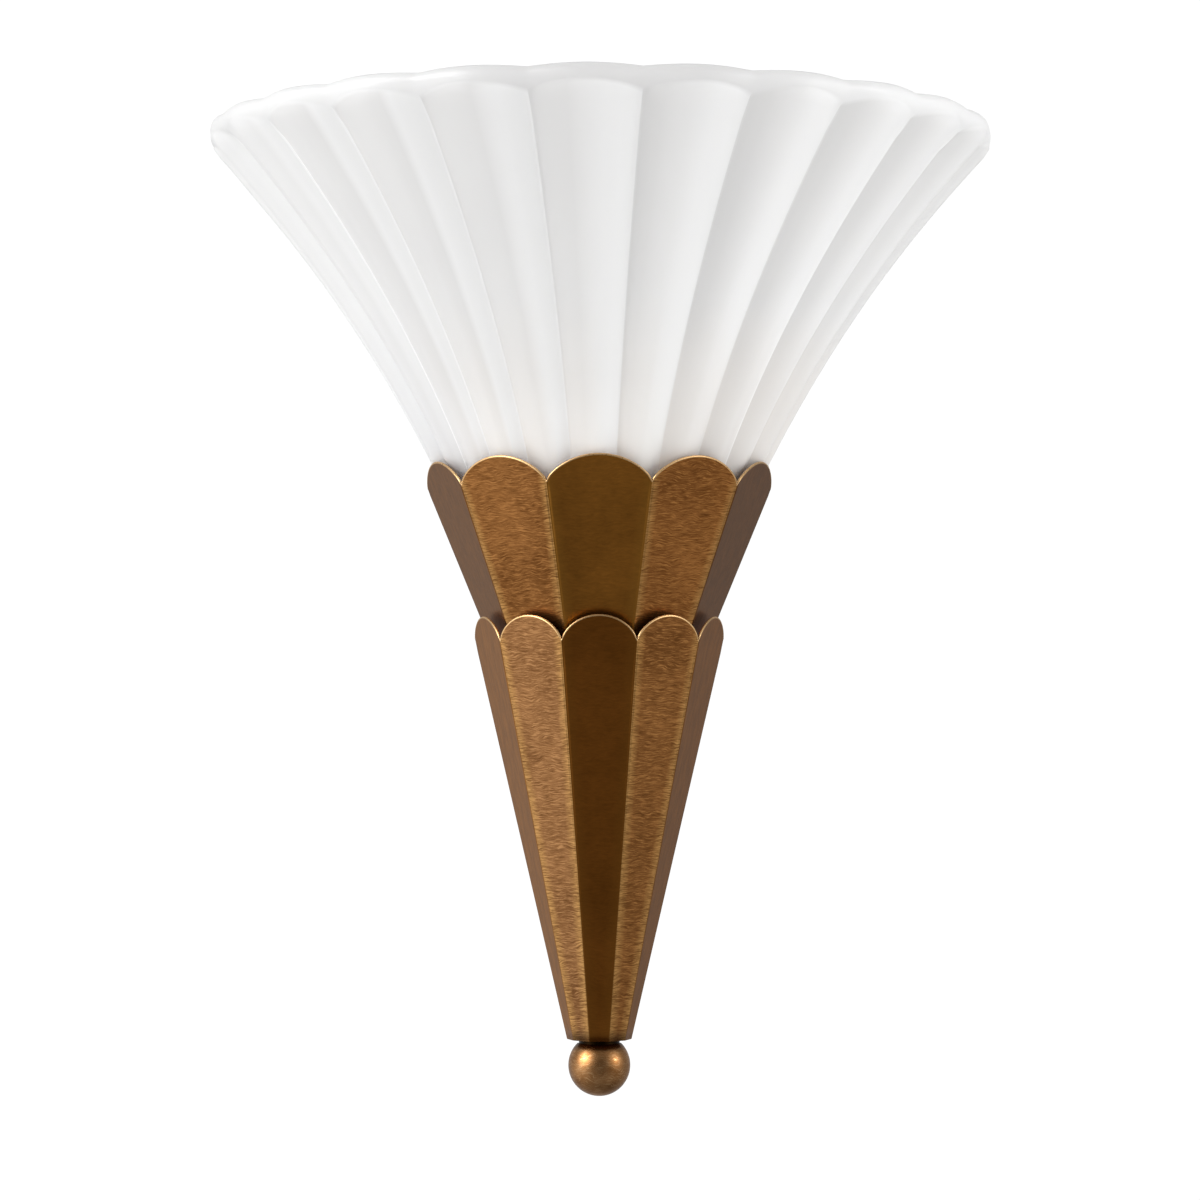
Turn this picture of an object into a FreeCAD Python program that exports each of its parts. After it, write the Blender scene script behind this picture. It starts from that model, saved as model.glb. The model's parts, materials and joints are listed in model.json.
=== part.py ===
"""Half-round wall sconce: a fluted glass shell shade standing in a two-tier scalloped brass torch.

Millimetres. The wall is the plane y = 0 and the light stands in front of it, towards -y.
+z is up, and the origin is the centre of the mounting strap, on the wall.
"""
import FreeCAD, Part
import math
import os

V = FreeCAD.Vector

# ---- the folded brass torch ---------------------------------------------------------------
FRONT_STEP = 34.4        # degrees between the folds of the three front facets
SHEET = 1.0              # brass sheet
FOLD_R = 1.5             # outside bend radius of a fold

CUP_VALLEY_Z = 50.0      # level of the valleys between the upper scallops
CUP_VALLEY_R = 72.9      # radius of the folds at that level
CUP_SLOPE = 0.412        # radius gained per millimetre of height
CUP_SCALLOP = 9.7        # height of a scallop above its valleys

CONE_VALLEY_DROP = 63.6  # valleys of the lower scallops below those of the upper
CONE_LENGTH = 168.2      # from those valleys down to the end
CONE_SLOPE = 0.232
CONE_SCALLOP = 9.1
TIER_STEP = 6.1          # how far the cone's folds stand out past the cup's at the valleys
CUP_BELOW_STUD = 9.0     # lower end of the cup, inside the cone, below the lower stud
TIER_T = 1.2             # plate that the cup stands on
TIER_FLANGE_H = 10.0
TIER_FLANGE_INSET = 4.0  # flange's ends inside the cone's side facets
TIER_SCREW_X = 24.0

CLIP_T = 1.2             # angle clips between the facets and the back plate
CLIP_W = 10.0
CLIP_LEG = 9.0
CUP_CLIP_DROPS = (43.0, 71.0)    # below the cup's valleys
CONE_CLIP_DROPS = (46.4, 131.4)  # below the cone's valleys

# ---- the glass shell ----------------------------------------------------------------------
SHADE_PLAY = 2.1         # level gap between the cup and the glass's ridges at the valleys
SHADE_NECK_SLOPE = 0.468 # radius gained per millimetre of height there
SHADE_RIM_R = 165.6      # radius over the ridges along the upright end face of the rim
SHADE_RIM_H = 142.8      # lower corner of that face above the upper valleys
SHADE_FACE_H = 147.3     # its upper corner
SHADE_TOP_H = 151.7      # highest line of the rim
SHADE_TOP_INSET = 4.2    # how far the rim leans in from the face to the top
SHADE_WALL = 5.0         # glass, measured level, at the foot
SHADE_RIM_WALL = 10.5    # the same at the face's lower corner, where the wall leans out the most
SHADE_FACE_WALL = 8.0    # at its upper corner
SHADE_TOP_WALL = 2.4     # width of the flat on top of the rim
SHADE_STEPS = 6          # sections of the pressing between foot and rim
FLUTE_PITCH = 15.0       # degrees from ridge to ridge
FLUTE_TURN = -1.0        # degrees that the pressing is turned off centre
FLUTE_DEPTH = 0.0515     # depth of a crease as a share of the radius over the ridges
SHADE_BACK_GAP = 1.0     # from the back plate to the glass's two long back edges

# ---- wall fixing --------------------------------------------------------------------------
BOX_SPACING = 88.9       # outlet box screws
STRAP_WIDTH = 28.0
STRAP_LENGTH = 108.0
STRAP_T = 2.0
STRAP_CORNER_R = 5.0
STRAP_GAP = 0.8          # between the strap and the back plate
SLOT_W = 5.0
SLOT_LENGTH = 14.0
STUD_R = 2.0
STUD_Z = 24.0
STUD_SUNK = 0.2
STUD_SPARE = 1.6         # stud past its nut
WASHER_R = 4.5
WASHER_T = 0.8
NUT_FLATS = 7.0
NUT_H = 3.2
PLATE_T = 1.2
PLATE_TOP_DROP = 4.0     # top of the back plate below the upper valleys
PLATE_FOOT_RISE = 5.8    # its lower end above the end of the cone

# ---- screws and rivets --------------------------------------------------------------------
M3_R = 1.5
M3_HEAD = (2.8, 1.6)     # radius and height
M4_R = 2.0
M4_HEAD = (3.5, 2.2)
SCREW_SPARE = 1.6        # screw past the sheet that it is tapped into
RIVET_R = 1.4
RIVET_HEAD = (2.5, 0.85)

# ---- cable inlet and wiring ---------------------------------------------------------------
GROMMET_HOLE_R = 7.0
GROMMET_BORE_R = 4.5
GROMMET_FLANGE_R = 9.0
GROMMET_FLANGE_T = 1.4
GROMMET_ROOM = 1.0       # round the flange, in the strap's centre hole
LEAD_R = 1.0
BLOCK_POLES = (-31.0, -23.0, -15.0)
BLOCK_EDGE = 4.0         # plastic outside the outer poles
BLOCK_Z = (-12.0, 4.0)
BLOCK_DEPTH = 14.0
BLOCK_WELL_DEPTH = 5.0
BLOCK_HOLE_DEPTH = 6.0
BLOCK_CHAMFER = 1.5
BLOCK_SCREW_R = 1.4
BLOCK_HEAD = (2.2, 1.4)
TERMINAL_R = 1.2
TERMINAL_HEAD = (2.0, 1.4)
TERMINAL_WELL = (2.2, 4.0)
TERMINAL_INSET = 3.6     # terminal screws inside the block's ends
EARTH_X = 18.0
EARTH_Z = -5.0
LEAD_HALF_PITCH = 1.25   # the two leads side by side in the nipple
LEAD_INSERTED = 4.0      # lead inside the terminal block
NIPPLE_BEND_Z = (-1.0, -2.0)     # first bends of the live and neutral leads, below the nipple
LIVE_BENDS = ((-3.0, -23.2, -19.0), (-10.0, -18.0, -27.5), (-19.0, -13.0, -26.0), (-23.0, -11.0, -19.5))
NEUTRAL_BENDS = ((0.0, -25.2, -20.0), (-8.0, -22.5, -30.3), (-20.0, -17.0, -30.3), (-30.4, -12.0, -24.0))
EARTH_BENDS = ((-15.0, -11.0, -19.0), (-6.5, -14.0, -26.5), (7.0, -13.5, -28.0), (15.5, -9.0, -25.5))
TAG_BEND_Z = -19.0       # last bend of the earth lead, below its tag
TAG_R = 4.0
TAG_T = 0.8
TAG_BARREL_R = 2.0
TAG_BARREL = (-12.0, -6.5)   # ends of the barrel below the earth screw
TAG_LEAD_STOP = 1.0      # end of the lead below the barrel's upper end
TAG_END_WALL = 0.6       # brass left at that end

# ---- seat of the shade --------------------------------------------------------------------
SEAT_DEPTH = 34.0        # top of the seat plate below the upper valleys
SEAT_T = 1.5
GASKET_T = 1.5
GASKET_LAP = 1.5         # gasket past the glass, inwards
GASKET_ROOM = 0.87       # round the gasket, to the cup's facets
GASKET_END_GAP = 1.0     # gasket's ends inside the glass's back edges
SEAT_SCREW_X = 32.0
SEAT_SCREW_Y = -11.0
BRACKET_T = 1.5
BRACKET_W = 12.0
BRACKET_DEPTH = 12.0
BRACKET_H = 9.5
RIVET_PITCH = 7.0
PAD_HALF_W = 6.0
PAD_DROPS = (10.0, 3.0)  # lower and upper edges of the pads below the valleys

# ---- lamp holder and lamp -----------------------------------------------------------------
HOLDER_R = 12.5
HOLDER_H = 34.0
HOLDER_STUD_GAP = 2.4    # between the stud and the holder
HOLDER_WAIST = (11.0, 14.0)
HOLDER_WAIST_DEPTH = 1.6
HOLDER_EDGE_R = 1.0
WELL_FLOOR_H = 9.0       # floor of the well above the seat
WELL_FLOOR_T = 1.2
WELL_R = 6.75
SHELL_T = 0.45
SHELL_ENDS = (3.0, 2.0)  # shell above the floor, and below the mouth
CONTACT_T = 0.6
CONTACT_HALF_W = 2.0
CONTACT_END_GAP = 2.2    # tongue's ends inside the well
CONTACT_PIN_R = 1.6
CONTACT_RISE = 2.8       # lamp's centre contact above the floor
CAP_R = 5.9
CAP_T = 0.4
CAP_ENDS = (2.6, 18.5)   # the cap's ends above the lamp's centre contact
CAP_GRIP = 2.0           # cap below the foot of the lamp's glass
INSULATOR_LAP = 0.8      # black glass round the centre contact
LAMP_R = 17.5
LAMP_LENGTH = 98.0
LAMP_BELLY = 0.53        # height of the widest place as a share of the length
LAMP_NECK_R = 5.5
LAMP_GLASS = 0.9
TIP_R = 2.2              # the lamp's centre contact
TIP_T = 1.0
NIPPLE_R = 4.85
NIPPLE_BORE_R = 3.2
NIPPLE_ENDS = (-9.0, 6.0)    # below and above the seat
LOCK_WASHER_R = 8.5
NIPPLE_NUT_FLATS = 14.0
NIPPLE_NUT_H = 3.0

# ---- finial -------------------------------------------------------------------------------
BALL_R = 13.05
BALL_DROP = 10.9         # ball centre below the end of the cone
COLLAR_R = 8.6
COLLAR_T = 1.6
FOOT_PLATE_T = 1.5
FINIAL_BACK_Y = -0.4
FINIAL_SCREW_Y = -6.0
FINIAL_THREAD = 11.0     # screw's reach into the ball

# ---- proportions of small features --------------------------------------------------------
HOLE_SHARE = 0.6         # a hole's distance from the bend, as a share of its flange
HEAD_ROUND = 0.45        # rounding of a screw's head, as a share of its height
SLOT_SHARES = (0.28, 0.4)    # its slot's width over the head's radius, and depth over the height
LAMP_SHOULDER = (0.52, 0.37) # share of the way out, and up, from the lamp's neck to its belly
LAMP_CHEEK = (0.55, 0.72)    # share of the belly's radius, and of the way up from it to the tip
LAMP_NECK_PULL = 20.0        # length of the outline's tangent at the neck
LAMP_TIP_PULL = (22.0, 6.0)  # the same at the tip, inwards and upwards

# ---- clearances ---------------------------------------------------------------------------
OVER = 1.0               # a cutter's reach past what it cuts
SLIP = 0.05              # a shank in its hole
FIT = 0.3                # sheets laid inside one another
RUNNING = 0.35           # between pieces that move past each other

# ---- worked out from the sizes above ------------------------------------------------------
FAR = 400.0              # past the whole light
PLATE_BACK_Y = -(STRAP_T + STRAP_GAP)
PLATE_FRONT_Y = PLATE_BACK_Y - PLATE_T
STUD_TIP_Y = PLATE_FRONT_Y - WASHER_T - NUT_H - STUD_SPARE
LAMP_Y = STUD_TIP_Y - HOLDER_STUD_GAP - HOLDER_R
SHADE_BACK_Y = PLATE_FRONT_Y - SHADE_BACK_GAP
CONE_VALLEY_Z = CUP_VALLEY_Z - CONE_VALLEY_DROP
CONE_VALLEY_R = CUP_VALLEY_R - CUP_SLOPE * CONE_VALLEY_DROP + TIER_STEP
CONE_BOTTOM_Z = CONE_VALLEY_Z - CONE_LENGTH
CUP_BOTTOM_Z = -STUD_Z - CUP_BELOW_STUD
TIER_Z = CUP_BOTTOM_Z - TIER_T
TIER_SCREW_Z = TIER_Z - HOLE_SHARE * TIER_FLANGE_H
CUP_CLIP_Z = [CUP_VALLEY_Z - drop for drop in CUP_CLIP_DROPS]
CONE_CLIP_Z = [CONE_VALLEY_Z - drop for drop in CONE_CLIP_DROPS]
SEAT_Z = CUP_VALLEY_Z - SEAT_DEPTH
SEAT_UNDER_Z = SEAT_Z - SEAT_T
HOLDER_TOP_Z = SEAT_Z + HOLDER_H
WELL_FLOOR_Z = SEAT_Z + WELL_FLOOR_H
LAMP_TIP_Z = WELL_FLOOR_Z + CONTACT_RISE
CAP_Z = [LAMP_TIP_Z + end for end in CAP_ENDS]
COLLAR_Z = CONE_BOTTOM_Z - COLLAR_T
BLOCK_FRONT_Y = PLATE_FRONT_Y - BLOCK_DEPTH
TAG_Y = PLATE_FRONT_Y - TAG_BARREL_R
SIDE_STEP = 90.0 - 1.5 * FRONT_STEP
FOLD_ANGLES = (-90.0, -1.5 * FRONT_STEP, -0.5 * FRONT_STEP, 0.5 * FRONT_STEP, 1.5 * FRONT_STEP, 90.0)
FACETS = range(len(FOLD_ANGLES) - 1)
FRONT_FACETS = FACETS[1:-1]


def box(x, y, z):
    """A block between two limits on each axis."""
    return Part.makeBox(x[1] - x[0], y[1] - y[0], z[1] - z[0], V(x[0], y[0], z[0]))


def rod(radius, start, end):
    """A round bar from one point to another."""
    span = end - start
    return Part.makeCylinder(radius, span.Length, start, span)


def tube(radius, bore, start, end):
    return rod(radius, start, end).cut(rod(bore, start, end))


def hexagon(across_flats, start, end):
    """A hexagonal bar from one point to another."""
    span = end - start
    corner = across_flats / math.sqrt(3.0)
    points = [V(corner * math.cos(math.radians(60 * i)), corner * math.sin(math.radians(60 * i)), 0)
              for i in range(7)]
    bar = Part.Face(Part.makePolygon(points)).extrude(V(0, 0, span.Length))
    bar.Placement = FreeCAD.Placement(start, FreeCAD.Rotation(V(0, 0, 1), span))
    return bar


def fuse(pieces):
    return pieces[0].multiFuse(pieces[1:]).removeSplitter()


def mirrored(shape):
    """The same piece on the other side of the light."""
    return shape.mirror(V(0, 0, 0), V(1, 0, 0))


def polar(radius, angle, z):
    """A point at an angle, in degrees, from straight out of the wall."""
    turn = math.radians(angle)
    return V(radius * math.sin(turn), -radius * math.cos(turn), z)


def in_frame(shape, origin, u, v, n):
    """Carry a shape made on the axes over to a frame of three unit vectors."""
    moved = shape.copy()
    moved.Placement = FreeCAD.Placement(FreeCAD.Matrix(
        u.x, v.x, n.x, origin.x,
        u.y, v.y, n.y, origin.y,
        u.z, v.z, n.z, origin.z,
        0, 0, 0, 1))
    return moved


def bore(radius, x, z):
    """A hole straight through the back of the light, along y."""
    return rod(radius, V(x, FAR, z), V(x, -FAR, z))


def well(radius, x, y, z=None):
    """An upright hole, through everything or down from a height."""
    return rod(radius, V(x, y, FAR), V(x, y, -FAR if z is None else z))


class Tier:
    """Half of a ten-sided sheet cone cut off by the wall, each facet ending in a round scallop."""

    def __init__(self, valley_z, valley_r, slope, bottom_z, scallop):
        self.valley_z = valley_z
        self.valley_r = valley_r
        self.slope = slope
        self.bottom_z = bottom_z
        self.scallop = scallop
        self.top_z = valley_z + scallop

    def fold_radius(self, z, inside=0.0):
        """Radius of the folds at a height, on a surface some way inside the outer one."""
        half = math.cos(math.radians(SIDE_STEP / 2))
        tilt = math.atan(self.slope * half)
        return self.valley_r + self.slope * (z - self.valley_z) - inside / (half * math.cos(tilt))

    def flat_radius(self, z):
        """Radius of the largest round thing that passes inside the facets at a height."""
        return self.fold_radius(z, SHEET) * math.cos(math.radians(SIDE_STEP / 2))

    def half_width(self, z, y, inside):
        """Distance from the middle to a side facet, at a height and a distance from the wall."""
        radius = self.fold_radius(z, inside)
        corner = polar(radius, FOLD_ANGLES[-2], z)
        return radius + (corner.x - radius) * (y / corner.y)

    def ring(self, z, inside, back_y):
        radius = self.fold_radius(z, inside)
        points = [polar(radius, angle, z) for angle in FOLD_ANGLES]
        if back_y > 0:
            points = [V(-radius, back_y, z)] + points + [V(radius, back_y, z)]
        return Part.makePolygon(points + points[:1])

    def solid(self, levels, inside=0.0, back_y=0.0, fold_r=0.0):
        """The space inside the tier between two levels, with its folds rounded."""
        shape = Part.makeLoft([self.ring(z, inside, back_y) for z in levels], True, True)
        if fold_r > 0:
            shape = shape.makeFillet(fold_r, [edge for edge in shape.Edges if self.is_fold(edge)])
        return shape

    def is_fold(self, edge):
        """True for the four upright folds in front of the wall."""
        low, high = sorted((vertex.Point for vertex in edge.Vertexes), key=lambda point: point.z)
        return high.z - low.z > SHEET and low.y < -SHEET

    def facet(self, index):
        """Two valleys of a facet, the point midway, and the facet's across, up and outward axes."""
        left = polar(self.valley_r, FOLD_ANGLES[index], self.valley_z)
        right = polar(self.valley_r, FOLD_ANGLES[index + 1], self.valley_z)
        middle = (left + right) * 0.5
        across = (right - left).normalize()
        outward = V(middle.x, middle.y, 0) * (self.slope / self.valley_r)
        up = V(outward.x, outward.y, 1.0).normalize()
        return left, right, middle, across, up, across.cross(up)

    def scallop_cutter(self, index):
        """What lies above one scallop, between the two folds of its facet."""
        left, right, middle, across, up, normal = self.facet(index)
        crown = middle + up * (self.scallop / up.z)
        above = self.top_z + self.scallop
        corners = [polar(self.fold_radius(above), FOLD_ANGLES[index + i], above) for i in (0, 1)]
        outline = Part.Wire([
            Part.Arc(left, crown, right).toShape(),
            Part.makeLine(right, corners[1]),
            Part.makeLine(corners[1], corners[0]),
            Part.makeLine(corners[0], left)])
        depth = SHEET + 2 * OVER
        return Part.Face(outline).translated(normal * -depth).extrude(normal * (2 * depth))

    def shell(self):
        above = self.top_z + OVER
        shape = self.solid((self.bottom_z, above), fold_r=FOLD_R)
        through = (self.bottom_z - OVER, above + OVER)
        room = self.solid(through, inside=SHEET, back_y=FAR, fold_r=FOLD_R - SHEET)
        shape = shape.cut(room)
        for index in FACETS:
            shape = shape.cut(self.scallop_cutter(index))
        return shape

    def plate(self, z, thickness, back_y):
        """A level plate that lies inside the tier, up to a line in front of the wall."""
        slab = Part.Face(self.ring(z, SHEET + FIT, FAR)).extrude(V(0, 0, thickness))
        return slab.cut(box((-FAR, FAR), (back_y, 2 * FAR), (-FAR, FAR)))

    def clip_x(self, z):
        """Where the screw of an angle clip stands, on the right-hand side."""
        return self.half_width(z, PLATE_FRONT_Y, SHEET) - HOLE_SHARE * CLIP_LEG

    def clip(self, z):
        """An angle clip in the right-hand corner between the side facet and the back plate."""
        middle, across, up, normal = self.facet(FACETS[-1])[2:]
        start = middle + up * ((z - self.valley_z) / up.z) - normal * (SHEET + CLIP_T)
        corner = V(self.half_width(z, PLATE_FRONT_Y, SHEET), PLATE_FRONT_Y, z)
        reach = across.dot(corner - start)
        leg = in_frame(box((reach - CLIP_LEG, reach), (-CLIP_W / 2, CLIP_W / 2), (0, CLIP_T + SHEET)),
                       start, across, up, normal)
        x = self.clip_x(z)
        height = (z - CLIP_W / 2, z + CLIP_W / 2)
        foot = box((x - CLIP_LEG / 2, x + CLIP_LEG), (PLATE_FRONT_Y - CLIP_T, PLATE_FRONT_Y), height)
        room = self.solid((self.bottom_z, self.top_z), inside=SHEET, back_y=FAR)
        clip = fuse([leg, foot]).common(room)
        clip = clip.common(box((-FAR, FAR), (-FAR, PLATE_FRONT_Y), (-FAR, FAR)))
        return clip.cut(bore(M3_R + SLIP, x, z))


CUP = Tier(CUP_VALLEY_Z, CUP_VALLEY_R, CUP_SLOPE, CUP_BOTTOM_Z, CUP_SCALLOP)
CONE = Tier(CONE_VALLEY_Z, CONE_VALLEY_R, CONE_SLOPE, CONE_BOTTOM_Z, CONE_SCALLOP)


def screw(radius, head, seat, tip):
    """A pan-head screw: its head stands on the seat point, and its shank runs on to the tip."""
    head_r, head_h = head
    axis = (tip - seat).normalize()
    top = seat - axis * head_h
    dome = rod(head_r, top, seat)
    rim = [edge for edge in dome.Edges if edge.Closed and (edge.CenterOfMass - top).Length < head_h / 2]
    dome = dome.makeFillet(HEAD_ROUND * head_h, rim)
    half_slot = SLOT_SHARES[0] * head_r / 2
    slot = box((-head_r, head_r), (-half_slot, half_slot), (0, SLOT_SHARES[1] * head_h))
    slot.Placement = FreeCAD.Placement(top, FreeCAD.Rotation(V(0, 0, 1), axis))
    return fuse([dome, rod(radius, seat, tip)]).cut(slot)


# ---- places shared by several pieces ------------------------------------------------------
def stud_places():
    return [(0, side * STUD_Z) for side in (-1, 1)]


def clip_places():
    """Where a screw goes through the back plate into each angle clip."""
    return [(side * tier.clip_x(z), z) for tier, levels in ((CUP, CUP_CLIP_Z), (CONE, CONE_CLIP_Z))
            for z in levels for side in (-1, 1)]


def tier_screw_places():
    return [(side * TIER_SCREW_X, TIER_SCREW_Z) for side in (-1, 1)]


def rivet_places():
    z = SEAT_UNDER_Z - HOLE_SHARE * BRACKET_H
    half = RIVET_PITCH / 2
    return [(side * SEAT_SCREW_X + shift, z) for side in (-1, 1) for shift in (-half, half)]


def block_screw_places():
    z = sum(BLOCK_Z) / 2
    return [((a + b) / 2, z) for a, b in zip(BLOCK_POLES, BLOCK_POLES[1:])]


def terminal_places():
    levels = (BLOCK_Z[0] + TERMINAL_INSET, BLOCK_Z[1] - TERMINAL_INSET)
    return [(x, z) for x in BLOCK_POLES for z in levels]


# ---- wall fixing --------------------------------------------------------------------------
def slot_cut(z):
    """One slot for an outlet box screw, upright in the strap."""
    run = (SLOT_LENGTH - SLOT_W) / 2
    middle = box((-SLOT_W / 2, SLOT_W / 2), (-FAR, FAR), (z - run, z + run))
    return fuse([middle, bore(SLOT_W / 2, 0, z - run), bore(SLOT_W / 2, 0, z + run)])


def mounting_strap():
    half_l = STRAP_LENGTH / 2
    half_w = STRAP_WIDTH / 2
    bar = box((-half_w, half_w), (-STRAP_T, 0), (-half_l, half_l))
    corners = [edge for edge in bar.Edges if abs(edge.BoundBox.YLength - STRAP_T) < SLIP]
    bar = bar.makeFillet(STRAP_CORNER_R, corners)
    bar = bar.cut(bore(GROMMET_FLANGE_R + GROMMET_ROOM, 0, 0))
    for side in (-1, 1):
        bar = bar.cut(slot_cut(side * BOX_SPACING / 2))
    for x, z in stud_places():
        bar = bar.cut(bore(STUD_R + SLIP, x, z))
    return bar


def along_y(places, start_y, end_y, make):
    """The same piece at several places, each made between two distances from the wall."""
    return Part.makeCompound([make(V(x, start_y, z), V(x, end_y, z)) for x, z in places])


def strap_studs():
    return along_y(stud_places(), -STUD_SUNK, STUD_TIP_Y, lambda a, b: rod(STUD_R, a, b))


def stud_washers():
    return along_y(stud_places(), PLATE_FRONT_Y, PLATE_FRONT_Y - WASHER_T,
                   lambda a, b: tube(WASHER_R, STUD_R + SLIP, a, b))


def stud_nuts():
    start = PLATE_FRONT_Y - WASHER_T
    return along_y(stud_places(), start, start - NUT_H,
                   lambda a, b: hexagon(NUT_FLATS, a, b).cut(rod(STUD_R + SLIP, a, b)))


def back_plate():
    """The sheet that closes the torch's back, a little inside both tiers."""
    top_z = CUP_VALLEY_Z - PLATE_TOP_DROP
    step_z = TIER_Z - FIT
    foot_z = CONE_BOTTOM_Z + PLATE_FOOT_RISE
    levels = [(CUP, top_z), (CUP, CUP_BOTTOM_Z), (CONE, step_z), (CONE, foot_z)]
    right = [V(tier.half_width(z, PLATE_FRONT_Y, SHEET + FIT), PLATE_BACK_Y, z) for tier, z in levels]
    right.insert(2, V(right[1].x, PLATE_BACK_Y, step_z))
    left = [V(-point.x, point.y, point.z) for point in reversed(right)]
    sheet = Part.Face(Part.makePolygon(right + left + right[:1])).extrude(V(0, -PLATE_T, 0))
    holes = [(GROMMET_HOLE_R, [(0, 0)]),
             (M4_R + SLIP, [(EARTH_X, EARTH_Z)]),
             (STUD_R + FIT, stud_places()),
             (M3_R + SLIP, clip_places() + tier_screw_places()),
             (RIVET_R + SLIP, rivet_places()),
             (BLOCK_SCREW_R + SLIP, block_screw_places())]
    for radius, places in holes:
        for x, z in places:
            sheet = sheet.cut(bore(radius, x, z))
    return sheet


def grommet():
    """Rubber bush in the back plate, where the house wires come through."""
    back = V(0, PLATE_BACK_Y + GROMMET_FLANGE_T, 0)
    front = V(0, PLATE_FRONT_Y - GROMMET_FLANGE_T, 0)
    body = fuse([rod(GROMMET_FLANGE_R, back, V(0, PLATE_BACK_Y, 0)),
                 rod(GROMMET_HOLE_R - SLIP, back, front),
                 rod(GROMMET_FLANGE_R, V(0, PLATE_FRONT_Y, 0), front)])
    return body.cut(bore(GROMMET_BORE_R, 0, 0))


# ---- the torch ----------------------------------------------------------------------------
def tier_plate():
    """The plate inside the cone that the cup stands on, with a flange down the back plate."""
    plate = CONE.plate(TIER_Z, TIER_T, PLATE_FRONT_Y)
    low_z = TIER_Z - TIER_FLANGE_H
    half = CONE.half_width(low_z, PLATE_FRONT_Y - TIER_T, SHEET + FIT) - TIER_FLANGE_INSET
    flange = box((-half, half), (PLATE_FRONT_Y - TIER_T, PLATE_FRONT_Y), (low_z, TIER_Z + SLIP))
    plate = fuse([plate, flange])
    for x, z in tier_screw_places():
        plate = plate.cut(bore(M3_R + SLIP, x, z))
    return plate


def clips(tier, levels):
    right = [tier.clip(z) for z in levels]
    return Part.makeCompound(right + [mirrored(clip) for clip in right])


def back_screws(places, sheet_t):
    """Screws put in from behind, their heads in the space between the back plate and the wall."""
    return along_y(places, PLATE_BACK_Y, PLATE_FRONT_Y - sheet_t - SCREW_SPARE,
                   lambda a, b: screw(M3_R, M3_HEAD, a, b))


def cone_foot_plate():
    """The small plate that closes the cone's lower end and holds the finial."""
    plate = CONE.plate(CONE_BOTTOM_Z, FOOT_PLATE_T, -FIT)
    return plate.cut(well(M4_R + SLIP, 0, FINIAL_SCREW_Y))


def front_half(shape):
    return shape.common(box((-FAR, FAR), (-FAR, FINIAL_BACK_Y), (-FAR, FAR)))


def finial_collar():
    disc = rod(COLLAR_R, V(0, 0, COLLAR_Z), V(0, 0, CONE_BOTTOM_Z))
    return front_half(disc).cut(well(M4_R + SLIP, 0, FINIAL_SCREW_Y))


def finial_ball():
    """Half a ball, flat behind and flat on top where the collar bears on it."""
    ball = Part.makeSphere(BALL_R, V(0, 0, CONE_BOTTOM_Z - BALL_DROP))
    ball = ball.common(box((-FAR, FAR), (-FAR, FAR), (-FAR, COLLAR_Z)))
    return front_half(ball).cut(well(M4_R + SLIP, 0, FINIAL_SCREW_Y, COLLAR_Z - FINIAL_THREAD - FIT))


def finial_screw():
    seat = V(0, FINIAL_SCREW_Y, CONE_BOTTOM_Z + FOOT_PLATE_T)
    return screw(M4_R, M4_HEAD, seat, V(0, FINIAL_SCREW_Y, COLLAR_Z - FINIAL_THREAD))


# ---- seat of the shade --------------------------------------------------------------------
def seat_plate():
    plate = CUP.plate(SEAT_UNDER_Z, SEAT_T, PLATE_FRONT_Y - FIT)
    plate = plate.cut(well(NIPPLE_R + SLIP, 0, LAMP_Y))
    for side in (-1, 1):
        plate = plate.cut(well(M4_R + SLIP, side * SEAT_SCREW_X, SEAT_SCREW_Y))
    return plate


def seat_bracket(x):
    """An angle on the back plate that carries one side of the seat plate."""
    def arm(depth, height):
        return box((x - BRACKET_W / 2, x + BRACKET_W / 2), (PLATE_FRONT_Y - depth, PLATE_FRONT_Y),
                   (SEAT_UNDER_Z - height, SEAT_UNDER_Z))

    bracket = fuse([arm(BRACKET_DEPTH, BRACKET_T), arm(BRACKET_T, BRACKET_H)])
    bracket = bracket.cut(well(M4_R + SLIP, x, SEAT_SCREW_Y))
    for place_x, z in rivet_places():
        bracket = bracket.cut(bore(RIVET_R + SLIP, place_x, z))
    return bracket


def seat_brackets():
    return Part.makeCompound([seat_bracket(side * SEAT_SCREW_X) for side in (-1, 1)])


def rivet(back, front):
    """A flat-headed rivet through the back plate and a bracket's leg."""
    head_r, head_h = RIVET_HEAD
    out = (front - back).normalize() * head_h
    return fuse([rod(head_r, back - out, back), rod(RIVET_R, back, front), rod(head_r, front, front + out)])


def bracket_rivets():
    return along_y(rivet_places(), PLATE_BACK_Y, PLATE_FRONT_Y - BRACKET_T, rivet)


def seat_screws():
    tip_z = SEAT_UNDER_Z - BRACKET_T - SCREW_SPARE
    return Part.makeCompound([
        screw(M4_R, M4_HEAD, V(side * SEAT_SCREW_X, SEAT_SCREW_Y, SEAT_Z),
              V(side * SEAT_SCREW_X, SEAT_SCREW_Y, tip_z)) for side in (-1, 1)])


def seat_gasket():
    """The soft half ring that the foot of the glass stands on."""
    foot_z = SEAT_Z + GASKET_T
    outer = CUP.flat_radius(SEAT_Z) - GASKET_ROOM
    inner = shade_radius(foot_z) * (1 - FLUTE_DEPTH) - SHADE_WALL - GASKET_LAP
    ring = tube(outer, inner, V(0, 0, SEAT_Z), V(0, 0, foot_z))
    return ring.common(box((-FAR, FAR), (-FAR, SHADE_BACK_Y - GASKET_END_GAP), (-FAR, FAR)))


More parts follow.
